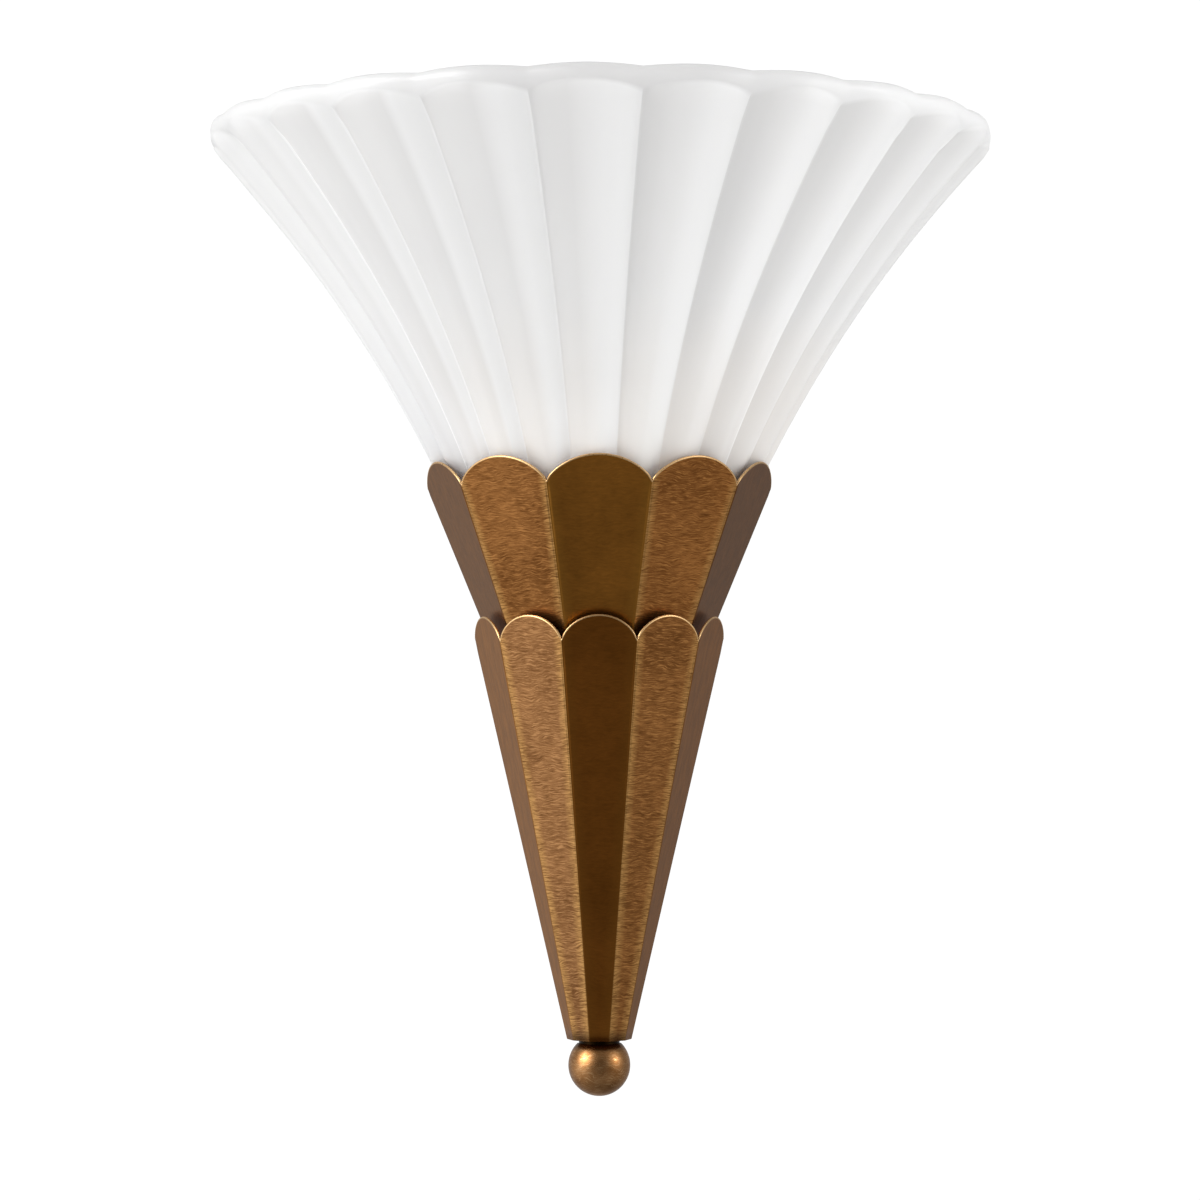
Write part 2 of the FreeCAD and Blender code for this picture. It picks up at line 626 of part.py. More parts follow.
def edge_pads():
    """Bumpers stuck inside the cup's three front facets, where the glass leans."""
    front = math.cos(math.radians(FRONT_STEP / 2))
    lining = SHEET * front / math.cos(math.radians(SIDE_STEP / 2)) + SLIP / 2
    top_z = CUP_VALLEY_Z - PAD_DROPS[1]
    pads = []
    for index in FRONT_FACETS:
        middle, across, up, normal = CUP.facet(index)[2:]
        room = (CUP.fold_radius(top_z, SHEET) * front - shade_radius(top_z)) * up.z
        low, high = (-drop / up.z for drop in PAD_DROPS)
        pad = box((-PAD_HALF_W, PAD_HALF_W), (low, high), (RUNNING - room, 0))
        pads.append(in_frame(pad, middle - normal * lining, across, up, normal))
    return Part.makeCompound(pads)


# ---- lamp holder --------------------------------------------------------------------------
def on_lamp(z):
    """The point of the lamp's axis at a height."""
    return V(0, LAMP_Y, z)


def socket_body():
    """Moulded lamp holder: a well for the screw shell, and a bore for the nipple below it."""
    body = rod(HOLDER_R, on_lamp(SEAT_Z), on_lamp(HOLDER_TOP_Z))
    body = body.makeFillet(HOLDER_EDGE_R, [edge for edge in body.Edges if edge.Closed])
    body = body.cut(rod(WELL_R, on_lamp(WELL_FLOOR_Z), on_lamp(FAR)))
    waist = [on_lamp(SEAT_Z + height) for height in HOLDER_WAIST]
    body = body.cut(tube(HOLDER_R + OVER, HOLDER_R - HOLDER_WAIST_DEPTH, *waist))
    return body.cut(rod(NIPPLE_R + SLIP, on_lamp(-FAR), on_lamp(WELL_FLOOR_Z - WELL_FLOOR_T)))


def socket_shell():
    outer = WELL_R - SLIP
    return tube(outer, outer - SHELL_T,
                on_lamp(WELL_FLOOR_Z + SHELL_ENDS[0]), on_lamp(HOLDER_TOP_Z - SHELL_ENDS[1]))


def socket_contact():
    """Spring tongue on the floor of the well, under the lamp's centre contact."""
    half_l = WELL_R - CONTACT_END_GAP
    top_z = WELL_FLOOR_Z + CONTACT_T
    along = (LAMP_Y - half_l, LAMP_Y + half_l)
    tongue = box((-CONTACT_HALF_W, CONTACT_HALF_W), along, (WELL_FLOOR_Z, top_z))
    return fuse([tongue, rod(CONTACT_PIN_R, on_lamp(top_z), on_lamp(LAMP_TIP_Z - RUNNING))])


def socket_nipple():
    return tube(NIPPLE_R, NIPPLE_BORE_R, *(on_lamp(SEAT_Z + end) for end in NIPPLE_ENDS))


def lock_washer():
    return tube(LOCK_WASHER_R, NIPPLE_R + SLIP, on_lamp(SEAT_UNDER_Z - WASHER_T), on_lamp(SEAT_UNDER_Z))


def nipple_nut():
    top_z = SEAT_UNDER_Z - WASHER_T
    nut = hexagon(NIPPLE_NUT_FLATS, on_lamp(top_z - NIPPLE_NUT_H), on_lamp(top_z))
    return nut.cut(well(NIPPLE_R + SLIP, 0, LAMP_Y))


# ---- lamp ---------------------------------------------------------------------------------
def bulb_contact():
    return rod(TIP_R, on_lamp(LAMP_TIP_Z), on_lamp(LAMP_TIP_Z + TIP_T))


def bulb_insulator():
    start_z = LAMP_TIP_Z + TIP_T
    return Part.makeCone(TIP_R + INSULATOR_LAP, CAP_R - CAP_T, CAP_Z[0] - start_z, on_lamp(start_z))


def bulb_cap():
    return tube(CAP_R, CAP_R - CAP_T, on_lamp(CAP_Z[0]), on_lamp(CAP_Z[1]))


def envelope(inside):
    """The lamp's glass, or the space inside it: a neck, a belly and a drawn-in tip."""
    bottom = CAP_Z[0] + CAP_GRIP + inside
    top = LAMP_TIP_Z + LAMP_LENGTH - inside
    belly = LAMP_TIP_Z + LAMP_LENGTH * LAMP_BELLY
    neck = LAMP_NECK_R - inside
    widest = LAMP_R - inside
    shoulder = V(neck + LAMP_SHOULDER[0] * (widest - neck), 0,
                 CAP_Z[1] + LAMP_SHOULDER[1] * (belly - CAP_Z[1]))
    cheek = V(LAMP_CHEEK[0] * widest, 0, belly + LAMP_CHEEK[1] * (top - belly))
    side = Part.BSplineCurve()
    side.interpolate([V(neck, 0, CAP_Z[1]), shoulder, V(widest, 0, belly), cheek, V(0, 0, top)],
                     InitialTangent=V(0, 0, LAMP_NECK_PULL),
                     FinalTangent=V(-LAMP_TIP_PULL[0], 0, LAMP_TIP_PULL[1]))
    outline = Part.Wire([
        Part.makeLine(V(0, 0, bottom), V(neck, 0, bottom)),
        Part.makeLine(V(neck, 0, bottom), V(neck, 0, CAP_Z[1])),
        side.toShape(),
        Part.makeLine(V(0, 0, top), V(0, 0, bottom))])
    turned = Part.Face(outline).revolve(V(0, 0, 0), V(0, 0, 1), 360)
    return turned.translated(V(0, LAMP_Y, 0))


def bulb_globe():
    return envelope(0.0).cut(envelope(LAMP_GLASS))


# ---- wiring -------------------------------------------------------------------------------
def lead(points):
    """A round lead along straight runs joined by tangent arcs, as large as the runs allow."""
    edges = []
    last = points[0]
    for before, corner, after in zip(points, points[1:], points[2:]):
        into = (corner - before).normalize()
        out = (after - corner).normalize()
        cut = 0.45 * min((corner - before).Length, (after - corner).Length)
        half_turn = into.getAngle(out) / 2
        radius = cut / math.tan(half_turn)
        middle = corner + (out - into).normalize() * (radius / math.cos(half_turn) - radius)
        start = corner - into * cut
        end = corner + out * cut
        edges.append(Part.LineSegment(last, start).toShape())
        edges.append(Part.Arc(start, middle, end).toShape())
        last = end
    edges.append(Part.LineSegment(last, points[-1]).toShape())
    section = Part.Wire(Part.Circle(points[0], points[1] - points[0], LEAD_R).toShape())
    return Part.Wire(edges).makePipeShell([section], True, False)


def entry(pole, height):
    """A point on the axis of one of the terminal block's wire holes, above the block's foot."""
    return V(BLOCK_POLES[pole], PLATE_FRONT_Y - BLOCK_DEPTH / 2, BLOCK_Z[0] + height)


def bends(points):
    return [V(*point) for point in points]


def holder_lead(x, first_z, points, pole):
    """A lead from inside the lamp holder, down through the nipple and round to the terminal block."""
    start = V(x, LAMP_Y, WELL_FLOOR_Z - WELL_FLOOR_T - FIT)
    return lead([start, V(x, LAMP_Y, first_z)] + bends(points) + [entry(pole, LEAD_INSERTED)])


def earth_lead():
    last = [V(EARTH_X, TAG_Y, z) for z in (TAG_BEND_Z, EARTH_Z + TAG_BARREL[1] - TAG_LEAD_STOP)]
    return lead([entry(2, LEAD_INSERTED)] + bends(EARTH_BENDS) + last)


def terminal_block():
    """Three-pole screw terminal: house wires enter from above, the light's own leads from below."""
    across = (BLOCK_POLES[0] - BLOCK_EDGE, BLOCK_POLES[-1] + BLOCK_EDGE)
    block = box(across, (BLOCK_FRONT_Y, PLATE_FRONT_Y), BLOCK_Z)
    edges = [edge for edge in block.Edges
             if edge.CenterOfMass.y < BLOCK_FRONT_Y + SLIP and edge.BoundBox.XLength > BLOCK_EDGE]
    block = block.makeChamfer(BLOCK_CHAMFER, edges)
    height = BLOCK_Z[1] - BLOCK_Z[0]
    for pole in range(len(BLOCK_POLES)):
        for start, end in ((-OVER, BLOCK_HOLE_DEPTH), (height - BLOCK_HOLE_DEPTH, height + OVER)):
            block = block.cut(rod(LEAD_R + FIT, entry(pole, start), entry(pole, end)))
    well_r, well_depth = TERMINAL_WELL
    for x, z in terminal_places():
        block = block.cut(rod(well_r, V(x, -FAR, z), V(x, BLOCK_FRONT_Y + well_depth, z)))
    sunk_y = BLOCK_FRONT_Y + BLOCK_WELL_DEPTH
    for x, z in block_screw_places():
        block = block.cut(bore(BLOCK_SCREW_R + SLIP, x, z))
        block = block.cut(rod(BLOCK_HEAD[0] + SLIP, V(x, -FAR, z), V(x, sunk_y, z)))
    return block


def terminal_screws():
    depth = TERMINAL_WELL[1]
    return along_y(terminal_places(), BLOCK_FRONT_Y + depth / 2, BLOCK_FRONT_Y + depth,
                   lambda a, b: screw(TERMINAL_R, TERMINAL_HEAD, a, b))


def block_screws():
    return along_y(block_screw_places(), BLOCK_FRONT_Y + BLOCK_WELL_DEPTH, PLATE_BACK_Y,
                   lambda a, b: screw(BLOCK_SCREW_R, BLOCK_HEAD, a, b))


def earth_tag():
    """Ring terminal under the earth screw, its barrel closed on the earth lead."""
    low_z, high_z = (EARTH_Z + end for end in TAG_BARREL)
    sheet = (PLATE_FRONT_Y - TAG_T, PLATE_FRONT_Y)
    ring = rod(TAG_R, V(EARTH_X, sheet[1], EARTH_Z), V(EARTH_X, sheet[0], EARTH_Z))
    tail = box((EARTH_X - TAG_BARREL_R, EARTH_X + TAG_BARREL_R), sheet, (high_z - OVER, EARTH_Z))
    barrel = rod(TAG_BARREL_R, V(EARTH_X, TAG_Y, low_z), V(EARTH_X, TAG_Y, high_z))
    tag = fuse([ring, tail, barrel]).cut(bore(M4_R + SLIP, EARTH_X, EARTH_Z))
    return tag.cut(rod(LEAD_R + FIT, V(EARTH_X, TAG_Y, -FAR), V(EARTH_X, TAG_Y, high_z - TAG_END_WALL)))


def earth_screw():
    seat = V(EARTH_X, PLATE_FRONT_Y - TAG_T, EARTH_Z)
    return screw(M4_R, M4_HEAD, seat, V(EARTH_X, PLATE_BACK_Y + STRAP_GAP, EARTH_Z))


# ---- the glass shell ----------------------------------------------------------------------
def shade_radius(z):
    """Radius over the ridges at a height: a parabola from the cup's mouth to the rim."""
    neck = CUP.flat_radius(CUP_VALLEY_Z) - SHADE_PLAY
    bend = (SHADE_RIM_R - neck - SHADE_NECK_SLOPE * SHADE_RIM_H) / SHADE_RIM_H ** 2
    height = z - CUP_VALLEY_Z
    return neck + SHADE_NECK_SLOPE * height + bend * height ** 2


def fluted_ring(ridge_r, wall, z):
    """Outline of the glass at one height: round lobes between sharp creases, inside and out."""
    lobes = int(90.0 / FLUTE_PITCH) + 1
    creases = [(i + 0.5) * FLUTE_PITCH + FLUTE_TURN for i in range(-lobes, lobes)]
    spans = list(zip(creases, creases[1:]))
    inner_r = ridge_r - wall
    depth = FLUTE_DEPTH * ridge_r

    def lobe(radius, start, end):
        crown = polar(radius, (start + end) / 2, z)
        return Part.Arc(polar(radius - depth, start, z), crown, polar(radius - depth, end, z)).toShape()

    def edge(angle, start_r, end_r):
        return Part.makeLine(polar(start_r - depth, angle, z), polar(end_r - depth, angle, z))

    outside = [lobe(ridge_r, start, end) for start, end in spans]
    inside = [lobe(inner_r, end, start) for start, end in reversed(spans)]
    return Part.Wire(outside + [edge(creases[-1], ridge_r, inner_r)]
                     + inside + [edge(creases[0], inner_r, ridge_r)])


def glass_shade():
    foot_z = SEAT_Z + GASKET_T + FIT
    corner_z = CUP_VALLEY_Z + SHADE_RIM_H
    sections = []
    for step in range(SHADE_STEPS + 1):
        share = step / SHADE_STEPS
        wall = SHADE_WALL + (SHADE_RIM_WALL - SHADE_WALL) * share ** 2
        z = foot_z + (corner_z - foot_z) * share
        sections.append(fluted_ring(shade_radius(z), wall, z))
    face = fluted_ring(SHADE_RIM_R, SHADE_FACE_WALL, CUP_VALLEY_Z + SHADE_FACE_H)
    top = fluted_ring(SHADE_RIM_R - SHADE_TOP_INSET, SHADE_TOP_WALL, CUP_VALLEY_Z + SHADE_TOP_H)
    body = Part.makeLoft(sections, True, False)
    rim = Part.makeLoft([sections[-1], face, top], True, True)
    return body.fuse(rim).cut(box((-FAR, FAR), (SHADE_BACK_Y, FAR), (-FAR, FAR)))


NODES = {
    "mounting_strap": mounting_strap,
    "strap_studs": strap_studs,
    "stud_washers": stud_washers,
    "stud_nuts": stud_nuts,
    "back_plate": back_plate,
    "grommet": grommet,
    "upper_cup": CUP.shell,
    "lower_cone": CONE.shell,
    "tier_plate": tier_plate,
    "cup_clips": lambda: clips(CUP, CUP_CLIP_Z),
    "cone_clips": lambda: clips(CONE, CONE_CLIP_Z),
    "clip_screws": lambda: back_screws(clip_places(), CLIP_T),
    "tier_screws": lambda: back_screws(tier_screw_places(), TIER_T),
    "cone_foot_plate": cone_foot_plate,
    "finial_collar": finial_collar,
    "finial_ball": finial_ball,
    "finial_screw": finial_screw,
    "seat_plate": seat_plate,
    "seat_brackets": seat_brackets,
    "bracket_rivets": bracket_rivets,
    "seat_screws": seat_screws,
    "seat_gasket": seat_gasket,
    "edge_pads": edge_pads,
    "socket_body": socket_body,
    "socket_shell": socket_shell,
    "socket_contact": socket_contact,
    "socket_nipple": socket_nipple,
    "lock_washer": lock_washer,
    "nipple_nut": nipple_nut,
    "bulb_contact": bulb_contact,
    "bulb_insulator": bulb_insulator,
    "bulb_cap": bulb_cap,
    "bulb_globe": bulb_globe,
    "terminal_block": terminal_block,
    "terminal_screws": terminal_screws,
    "block_screws": block_screws,
    "live_lead": lambda: holder_lead(-LEAD_HALF_PITCH, NIPPLE_BEND_Z[0], LIVE_BENDS, 1),
    "neutral_lead": lambda: holder_lead(LEAD_HALF_PITCH, NIPPLE_BEND_Z[1], NEUTRAL_BENDS, 0),
    "earth_lead": earth_lead,
    "earth_tag": earth_tag,
    "earth_screw": earth_screw,
    "glass_shade": glass_shade,
}

os.makedirs("parts", exist_ok=True)
for name, make in NODES.items():
    piece = make()
    piece.exportStep(os.path.join("parts", name + ".step"))
    print("%-16s solids %d volume %.0f valid %s" % (name, len(piece.Solids), piece.Volume, piece.isValid()))
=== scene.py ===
"""Looks of the half-round wall sconce: a fluted opal glass shell in a two-tier scalloped brass torch.

Metres, in the frame of the CAD model: the wall is the plane y = 0, the light stands towards -y, +z is up.
Shapes are worked out in millimetres. Angles are in degrees round from straight out, positive to the right.
"""
import json
import math
from collections import namedtuple

import bpy
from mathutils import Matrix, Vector


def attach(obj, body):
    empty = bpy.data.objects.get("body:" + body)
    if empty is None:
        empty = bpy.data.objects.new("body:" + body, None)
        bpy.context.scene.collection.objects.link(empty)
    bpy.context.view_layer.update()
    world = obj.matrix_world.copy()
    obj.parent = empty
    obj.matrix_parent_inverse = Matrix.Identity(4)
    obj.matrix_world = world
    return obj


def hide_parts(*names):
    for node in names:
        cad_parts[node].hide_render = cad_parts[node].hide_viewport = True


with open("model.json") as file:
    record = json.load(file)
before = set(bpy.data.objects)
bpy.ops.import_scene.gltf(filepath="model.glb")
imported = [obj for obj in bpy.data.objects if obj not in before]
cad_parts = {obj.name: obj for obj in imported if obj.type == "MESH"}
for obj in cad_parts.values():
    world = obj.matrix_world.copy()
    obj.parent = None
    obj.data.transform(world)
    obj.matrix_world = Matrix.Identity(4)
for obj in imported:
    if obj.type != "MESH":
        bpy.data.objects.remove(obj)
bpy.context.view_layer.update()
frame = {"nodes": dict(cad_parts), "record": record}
SCENE = bpy.context.scene
MM = 0.001

# ---- sizes of the CAD model -----------------------------------------------------------------
FRONT_STEP = 34.4        # degrees between the folds of the three front flats
FOLDS = (-90.0, -1.5 * FRONT_STEP, -0.5 * FRONT_STEP, 0.5 * FRONT_STEP, 1.5 * FRONT_STEP, 90.0)
SHEET = 1.0              # brass sheet
CUP_VALLEY_Z = 50.0      # level of the valleys between the upper scallops
CUP_VALLEY_R = 72.9      # radius of the folds at that level
CUP_SLOPE = 0.412        # radius gained per millimetre of height
CONE_VALLEY_DROP = 63.6  # valleys of the lower scallops below those of the upper
CONE_LENGTH = 168.2      # from those valleys down to the end
TIER_STEP = 6.1          # how far the cone's folds stand out past the cup's at the valleys
# of each tier: level and fold radius of its valleys, radius gained per millimetre of height, level of its
# lower end, and height of a scallop above its valleys
CUP = dict(valley_z=CUP_VALLEY_Z, valley_r=CUP_VALLEY_R, slope=CUP_SLOPE, bottom_z=-33.0, scallop=9.7)
CONE = dict(valley_z=CUP_VALLEY_Z - CONE_VALLEY_DROP,
            valley_r=CUP_VALLEY_R - CUP_SLOPE * CONE_VALLEY_DROP + TIER_STEP,
            slope=0.232, bottom_z=CUP_VALLEY_Z - CONE_VALLEY_DROP - CONE_LENGTH, scallop=9.1)
FLUTE_PITCH = 15.0       # degrees from ridge to ridge
FLUTE_TURN = -1.0        # degrees that the pressing is turned off centre
FLUTE_DEPTH = 0.0515     # depth of a crease as a share of the radius over the ridges
SHADE_FOOT_Z = 17.8      # lower end of the glass
SHADE_RIM_H = 142.8      # lower corner of the rim's face above the upper valleys
SHADE_RIM_R = 165.6      # radius over the ridges there
SHADE_NECK_R = 65.67     # the same at the valleys
SHADE_NECK_SLOPE = 0.468 # radius gained there per millimetre of height
SHADE_BACK_Y = -5.0      # the glass's two long back edges
SHADE_WALL = 5.0         # glass, measured level, at the foot
SHADE_RIM_WALL = 10.5    # the same at the rim


# ---- shared by every shape ------------------------------------------------------------------
def ramp(value, start, end):
    """0 at start, 1 at end, and eased in between."""
    share = min(max((value - start) / (end - start), 0.0), 1.0)
    return share * share * (3.0 - 2.0 * share)


def new_object(name, data):
    obj = bpy.data.objects.new(name, data)
    SCENE.collection.objects.link(obj)
    return obj


def mesh_object(name, points, smooth_faces, flat_faces=()):
    """A piece from points in millimetres and its faces. The flat ones are its ends at the wall."""
    mesh = bpy.data.meshes.new(name)
    places = [tuple(c * MM for c in point) for point in points]
    mesh.from_pydata(places, [], [*smooth_faces, *flat_faces])
    mesh.validate()
    mesh.update()
    for polygon in mesh.polygons:
        polygon.use_smooth = polygon.index < len(smooth_faces)
    return new_object(name, mesh)


def wrapped_faces(count, width):
    """Faces of a grid of points, count rows of width points, whose last row joins the first."""
    faces = []
    for row in range(count):
        here = row * width
        there = (row + 1) % count * width
        faces += [(here + k, here + k + 1, there + k + 1, there + k) for k in range(width - 1)]
    return faces


# ---- camera ---------------------------------------------------------------------------------
CAMERA_PLACE = (0.0003, -1.479, -0.0455)
CAMERA_TILT = 1.88       # degrees up from level

camera_data = bpy.data.cameras.new("camera")
camera_data.lens = 105.0
camera_data.sensor_width = 36.0
camera_data.clip_start = 0.05
camera_data.clip_end = 50.0
camera = new_object("camera", camera_data)
camera.location = CAMERA_PLACE
camera.rotation_euler = (math.radians(90.0 + CAMERA_TILT), 0.0, 0.0)
SCENE.camera = camera

# ---- the glass shell ------------------------------------------------------------------------
LOBES = 11               # whole lobes, between the outermost creases
LOBE_COLUMNS = 20        # steps across one lobe
COLUMNS_CROWDED = 0.5    # how far the columns of a lobe draw together at its creases
END_COLUMNS = 6          # from the outermost crease to the back edge
BODY_ROWS = 46           # steps up the outside, and as many down the inside
RIM_EASE = 1.2           # last part of the flare's radius, in which it rounds off under the rim
LOBE_EDGE = 0.30         # how far a lobe's round section leans to a pointed one
LOBE_EDGE_BLUNT = 0.004  # how blunt that point is
LOBE_EDGE_SHIFT = 0.063  # what the bluntness would take off the ridge, given back
CROWN_RISE = 1.9         # of the rim's lower corner over each ridge
CREASE_DROP = 3.1        # of that corner from there to the creases
TOP_WAVE = 0.9           # drop of the rim's top to the creases
RIM_POWER = 12           # how late on the way up the outside takes the rim's arch, and the inside its wave
BODY_TOP_DROP = 0.6      # the body's last row below the rim's corner
LIP_INSIDE_H = 147.0     # where the inside begins, under the lip's last row
FOOT_SOFTNESS = 0.7      # length over which a crease is rounded at the foot
BODY_SOFTENING = 0.5     # added to it on the way up
LIP_SOFTNESS = 1.3       # that length at the lip's first row
LIP_SOFTENING = 0.12     # added to it for each row over the lip
INSIDE_SOFTNESS = 2.6    # that length all down the inside
SHALLOW_SOFTNESS = 0.3   # share of its rounding that a crease keeps however shallow it is
END_START = 89.0         # angle from which the one at the back edge is found, in a few rounds
END_ROUNDS = 8
# the flutes' depth fades by this share over the last stretch below the rim
OUTSIDE_FADE = 0.14
OUTSIDE_FADE_H = 134.0
INSIDE_FADE = 0.5
INSIDE_FADE_H = 132.0
# the two outermost lobes are fuller low down, and the left one is drawn in at the rim
SIDE_ANGLES = (70.0, 84.0)
SIDE_FILL = 2.1
SIDE_FILL_FOOT = (-20.0, 12.0)
SIDE_FILL_TOP = (120.0, 15.0)
LEFT_TUCK = 0.95
LEFT_TUCK_HEIGHTS = (120.0, 140.0)
# towards the sides the lip's flutes fade more
LIP_SMOOTH = 1.3
LIP_SMOOTH_ANGLES = (45.0, 72.0)
# the pressed flutes lean round to the left by this many degrees, most between the two angles in the middle
DRIFT = 2.7
DRIFT_SPAN = (24.0, -40.0, -56.0, -86.0)

# over the lip: height above the valleys, ridge radius, share of the corner's arch and of the flutes' depth
LIP = [(143.1, 165.15, 1.0, 0.82), (143.9, 165.35, 0.86, 0.74), (145.0, 165.48, 0.66, 0.60),
       (146.4, 165.48, 0.36, 0.48), (147.7, 165.48, 0.12, 0.41), (148.9, 165.3, 0.0, 0.38),
       (150.0, 164.8, 0.0, 0.38), (150.9, 163.95, 0.0, 0.38), (151.45, 162.85, 0.0, 0.38),
       (151.7, 161.6, 0.0, 0.38), (151.7, 160.2, 0.0, 0.38), (151.6, 158.9, 0.0, 0.38),
       (151.1, 157.5, 0.0, 0.40), (150.3, 156.2, 0.0, 0.42), (149.0, 155.0, 0.0, 0.46)]

# one row of points round the shell. ridge_r is None where the flare gives it, less the wall. arch, wave and
# depth are the shares that it takes of the corner's arch, of the top's wave and of the flutes' depth
Row = namedtuple("Row", "height ridge_r wall arch wave depth softness")


def ridge_radius(height):
    """Radius over the ridges at a height above the cup's valleys, eased in under the rim."""
    bend = (SHADE_RIM_R - SHADE_NECK_R - SHADE_NECK_SLOPE * SHADE_RIM_H) / SHADE_RIM_H ** 2
    radius = SHADE_NECK_R + SHADE_NECK_SLOPE * height + bend * height ** 2
    over = radius - (SHADE_RIM_R - RIM_EASE)
    return radius if over < 0 else SHADE_RIM_R - RIM_EASE * math.exp(-over / RIM_EASE)


def lobe_radius(ridge_r, depth, angle):
    """Radius of one lobe at an angle off its ridge: round, with a faint edge on it."""
    half = FLUTE_PITCH / 2
    crease_r = ridge_r - depth
    centre = (ridge_r ** 2 - crease_r ** 2) / (2 * (ridge_r - crease_r * math.cos(math.radians(half))))
    turn = math.radians(angle)
    inside = (ridge_r - centre) ** 2 - (centre * math.sin(turn)) ** 2
    round_r = centre * math.cos(turn) + math.sqrt(max(inside, 0.0))
    share = math.sqrt((angle / half) ** 2 + LOBE_EDGE_BLUNT) - LOBE_EDGE_SHIFT
    return (1 - LOBE_EDGE) * round_r + LOBE_EDGE * (ridge_r - depth * share)


def fluted_radius(ridge_r, depth, angle, softness):
    """Radius at an angle from straight out, the creases rounded over a length of softness."""
    ridge = FLUTE_TURN + math.floor((angle - FLUTE_TURN) / FLUTE_PITCH + 0.5) * FLUTE_PITCH
    neighbour = ridge + math.copysign(FLUTE_PITCH, angle - ridge)
    near = lobe_radius(ridge_r, depth, angle - ridge)
    gap = near - lobe_radius(ridge_r, depth, angle - neighbour)
    return near + 0.5 * (math.sqrt(gap * gap + softness * softness) - abs(gap))


def crease_share(angle):
    """0 on a ridge, 1 in a crease."""
    lobes = (angle - FLUTE_TURN) / FLUTE_PITCH
    return (2 * (lobes - round(lobes))) ** 2


def shade_angles():
    """Angles of the shell's columns between the outermost creases, closer together at the creases."""
    first = FLUTE_TURN - LOBES / 2 * FLUTE_PITCH
    angles = []
    for lobe in range(LOBES):
        for step in range(LOBE_COLUMNS):
            even = step / LOBE_COLUMNS
            crowded = 0.5 - 0.5 * math.cos(math.pi * even)
            share = even + COLUMNS_CROWDED * (crowded - even)
            angles.append(first + (lobe + share) * FLUTE_PITCH)
    angles.append(first + LOBES * FLUTE_PITCH)
    return angles


def shade_rows():
    """Rows from the foot up the outside, over the lip and down the inside."""
    foot = SHADE_FOOT_Z - CUP_VALLEY_Z
    top = SHADE_RIM_H - BODY_TOP_DROP
    shares = [i / BODY_ROWS for i in range(BODY_ROWS + 1)]
    rows = []
    for share in shares:
        height = foot + (top - foot) * share
        depth = 1.0 - OUTSIDE_FADE * ramp(height, OUTSIDE_FADE_H, top)
        softness = FOOT_SOFTNESS + BODY_SOFTENING * share
        rows.append(Row(height, None, 0.0, share ** RIM_POWER, 0.0, depth, softness))
    for index, (height, radius, arch, depth) in enumerate(LIP):
        softness = LIP_SOFTNESS + LIP_SOFTENING * index
        rows.append(Row(height, radius, 0.0, arch, 1.0 - arch, depth, softness))
    for share in reversed(shares):
        height = foot + (LIP_INSIDE_H - foot) * share
        wall = SHADE_WALL + (SHADE_RIM_WALL - SHADE_WALL) * ((height - foot) / (SHADE_RIM_H - foot)) ** 2
        depth = 1.0 - INSIDE_FADE * ramp(height, INSIDE_FADE_H, LIP_INSIDE_H)
        rows.append(Row(height, None, wall, 0.0, share ** RIM_POWER, depth, INSIDE_SOFTNESS))
    return rows


def shade_radius(row, angle):
    """Radius of a row's point at an angle, and its height above the valleys."""
    crease = crease_share(angle)
    height = row.height + row.arch * (CROWN_RISE - CREASE_DROP * crease) - row.wave * TOP_WAVE * crease
    ridge_r = row.ridge_r
    if ridge_r is None:
        fill = ramp(abs(angle), *SIDE_ANGLES) * ramp(height, *SIDE_FILL_FOOT) * ramp(height, *SIDE_FILL_TOP)
        ridge_r = ridge_radius(height) - row.wall + SIDE_FILL * fill
    ridge_r -= LEFT_TUCK * ramp(-angle, *SIDE_ANGLES) * ramp(height, *LEFT_TUCK_HEIGHTS)
    depth = row.depth * (1.0 - LIP_SMOOTH * (1.0 - row.depth) * ramp(abs(angle), *LIP_SMOOTH_ANGLES))
    softness = row.softness * min(1.0, SHALLOW_SOFTNESS + depth)
    return fluted_radius(ridge_r, FLUTE_DEPTH * ridge_r * depth, angle, softness), height


def shade_point(row, angle):
    """A row's point at an angle, leaning with the flutes."""
    radius, height = shade_radius(row, angle)
    right, full, fading, left = DRIFT_SPAN
    turn = math.radians(angle - DRIFT * ramp(angle, right, full) * ramp(angle, left, fading))
    return radius * math.sin(turn), -radius * math.cos(turn), CUP_VALLEY_Z + height


def end_angles(row, side, crease):
    """Angles from the back edge, at the left (-1) or right (1), up to the outermost crease."""
    angle = side * END_START
    for _ in range(END_ROUNDS):
        radius = shade_radius(row, angle)[0]
        angle = side * math.degrees(math.acos(-SHADE_BACK_Y / radius))
    return [angle + (crease - angle) * k / END_COLUMNS for k in range(END_COLUMNS)]


def make_shade():
    angles = shade_angles()
    rows = shade_rows()
    points = []
    for row in rows:
        columns = end_angles(row, -1, angles[0]) + angles + end_angles(row, 1, angles[-1])[::-1]
        points += [shade_point(row, angle) for angle in columns]
    count = len(rows)
    width = len(points) // count
    ends = []
    for i in range(count // 2):
        # the last one is a triangle, because the two rows in the middle are one
        across = tuple(dict.fromkeys((i, i + 1, count - 2 - i, count - 1 - i)))
        ends.append([row * width for row in across])
        ends.append([row * width + width - 1 for row in reversed(across)])
    return mesh_object("shell_glass", points, wrapped_faces(count, width), ends)


